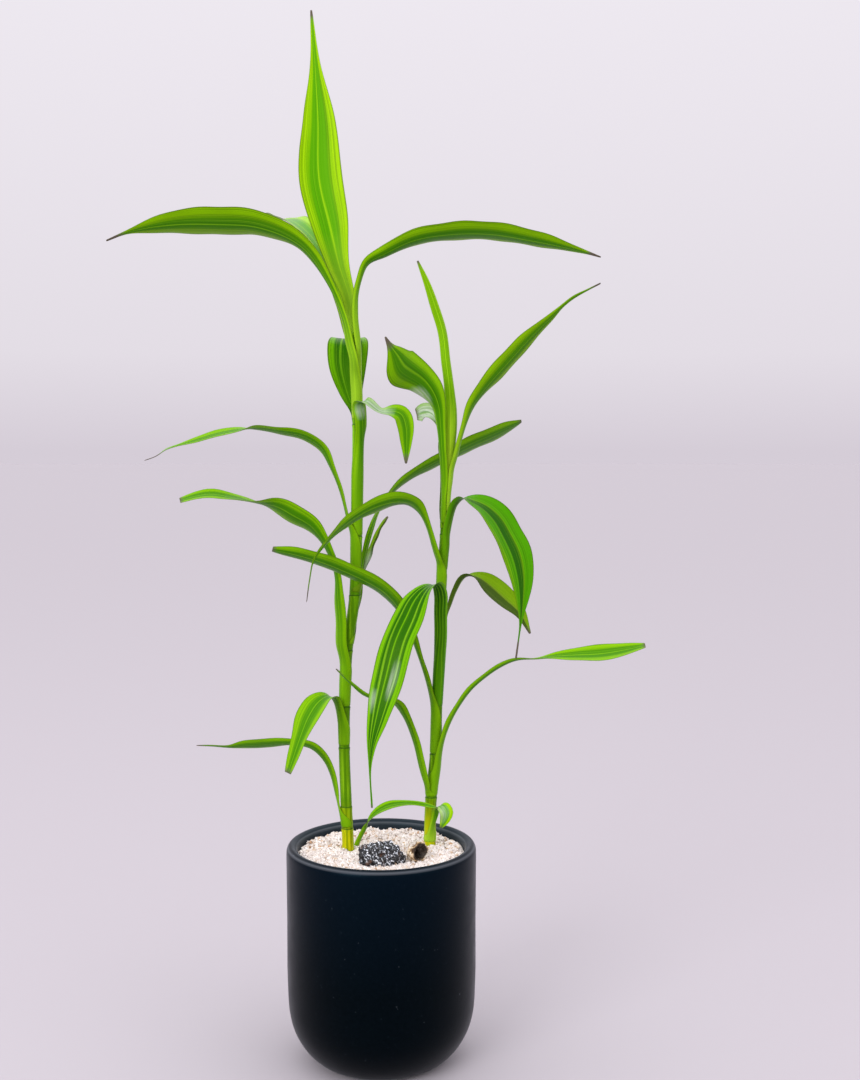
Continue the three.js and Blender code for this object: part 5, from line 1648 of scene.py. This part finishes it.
# %% Finish the bark curl
BARK_TANS = [
    (0.36, (0.06, 0.030, 0.012)), (0.46, (0.34, 0.21, 0.10)), (0.56, (0.66, 0.52, 0.36)),
    (0.66, (0.86, 0.78, 0.66)),
]
# Painted shade: near black for the inside of the curl.
PAINTED_HOLLOW_SHADE = (0.018, 0.010, 0.006)


def bark_finish():
    skin = new_material("dry_bark", Roughness=0.85)
    grain = noise(skin, coordinates(skin), scale=330, detail=5)
    colour = ramp(skin, grain, BARK_TANS)
    # Painted shade in the hollow.
    colour = tint(skin, attribute(skin, "hollow"), [(0.3, 0.0), (0.9, 0.95)], colour, PAINTED_HOLLOW_SHADE)
    feed(skin, "Base Color", colour)
    bump(skin, grain, strength=0.7, distance=0.0006)
    return skin


hand_over(bark, bark_finish(), "bark", "bark_curl")

# %% [markdown]
# ## Floor and light
# The plant stands on a plain pale floor under a bright, slightly violet sky of studio
# light that is brightest overhead. One large soft lamp from the front left shapes the
# leaves, and a weaker one fills the right side.

# %% Lay the floor
FLOOR_COLOUR = (0.43, 0.40, 0.435, 1)
FLOOR_RADIUS = 40

deselect_all()
bpy.ops.mesh.primitive_circle_add(
    vertices=96, radius=FLOOR_RADIUS, fill_type="NGON", location=(0, 0, 0))
floor = bpy.context.object
floor.name = "studio_floor"
floor.data.materials.append(new_material("pale_floor", Roughness=0.9, Base_Color=FLOOR_COLOUR))
print("floor radius in m:", FLOOR_RADIUS)

# %% [markdown]
# The sky could be one flat colour, but a ramp from the horizon up lights the leaves
# from above, as a room does, and stays plain behind the plant. Both lamps are large,
# so that no shadow has a hard edge.

# %% Set up the lights
# Colours of the sky by height: 0 is the horizon and 1 is straight up.
SKY = [
    (0.0, (0.665, 0.610, 0.680)), (0.07, (0.77, 0.725, 0.785)), (0.33, (0.86, 0.82, 0.88)),
    (1.0, (2.0, 1.96, 2.0)),
]
# Place in metres, size in metres and power in watts of each lamp.
LAMPS = {
    "key_lamp": ((-1.3, -2.0, 1.1), 1.2, 34),
    "fill_lamp": ((1.7, -1.3, 1.0), 1.4, 6),
}
AIM = Vector((0, 0, 0.3))


def studio_sky():
    sky = bpy.data.worlds.new("studio_sky")
    sky.use_nodes = True
    height = split(sky, coordinates(sky, "Generated"))["Z"]
    join(sky, ramp(sky, height, SKY), sky.node_tree.nodes["Background"].inputs["Color"])
    return sky


def hang_lamp(name, place, size, power):
    lamp_data = bpy.data.lights.new(name, "AREA")
    lamp_data.size = size
    lamp_data.energy = power
    lamp = bpy.data.objects.new(name, lamp_data)
    lamp.location = place
    lamp.rotation_euler = (AIM - Vector(place)).to_track_quat("-Z", "Y").to_euler()
    bpy.context.scene.collection.objects.link(lamp)


bpy.context.scene.world = studio_sky()
for name, lamp in LAMPS.items():
    hang_lamp(name, *lamp)
bpy.context.scene.view_settings.view_transform = "Standard"
print("lamps:", len(LAMPS))
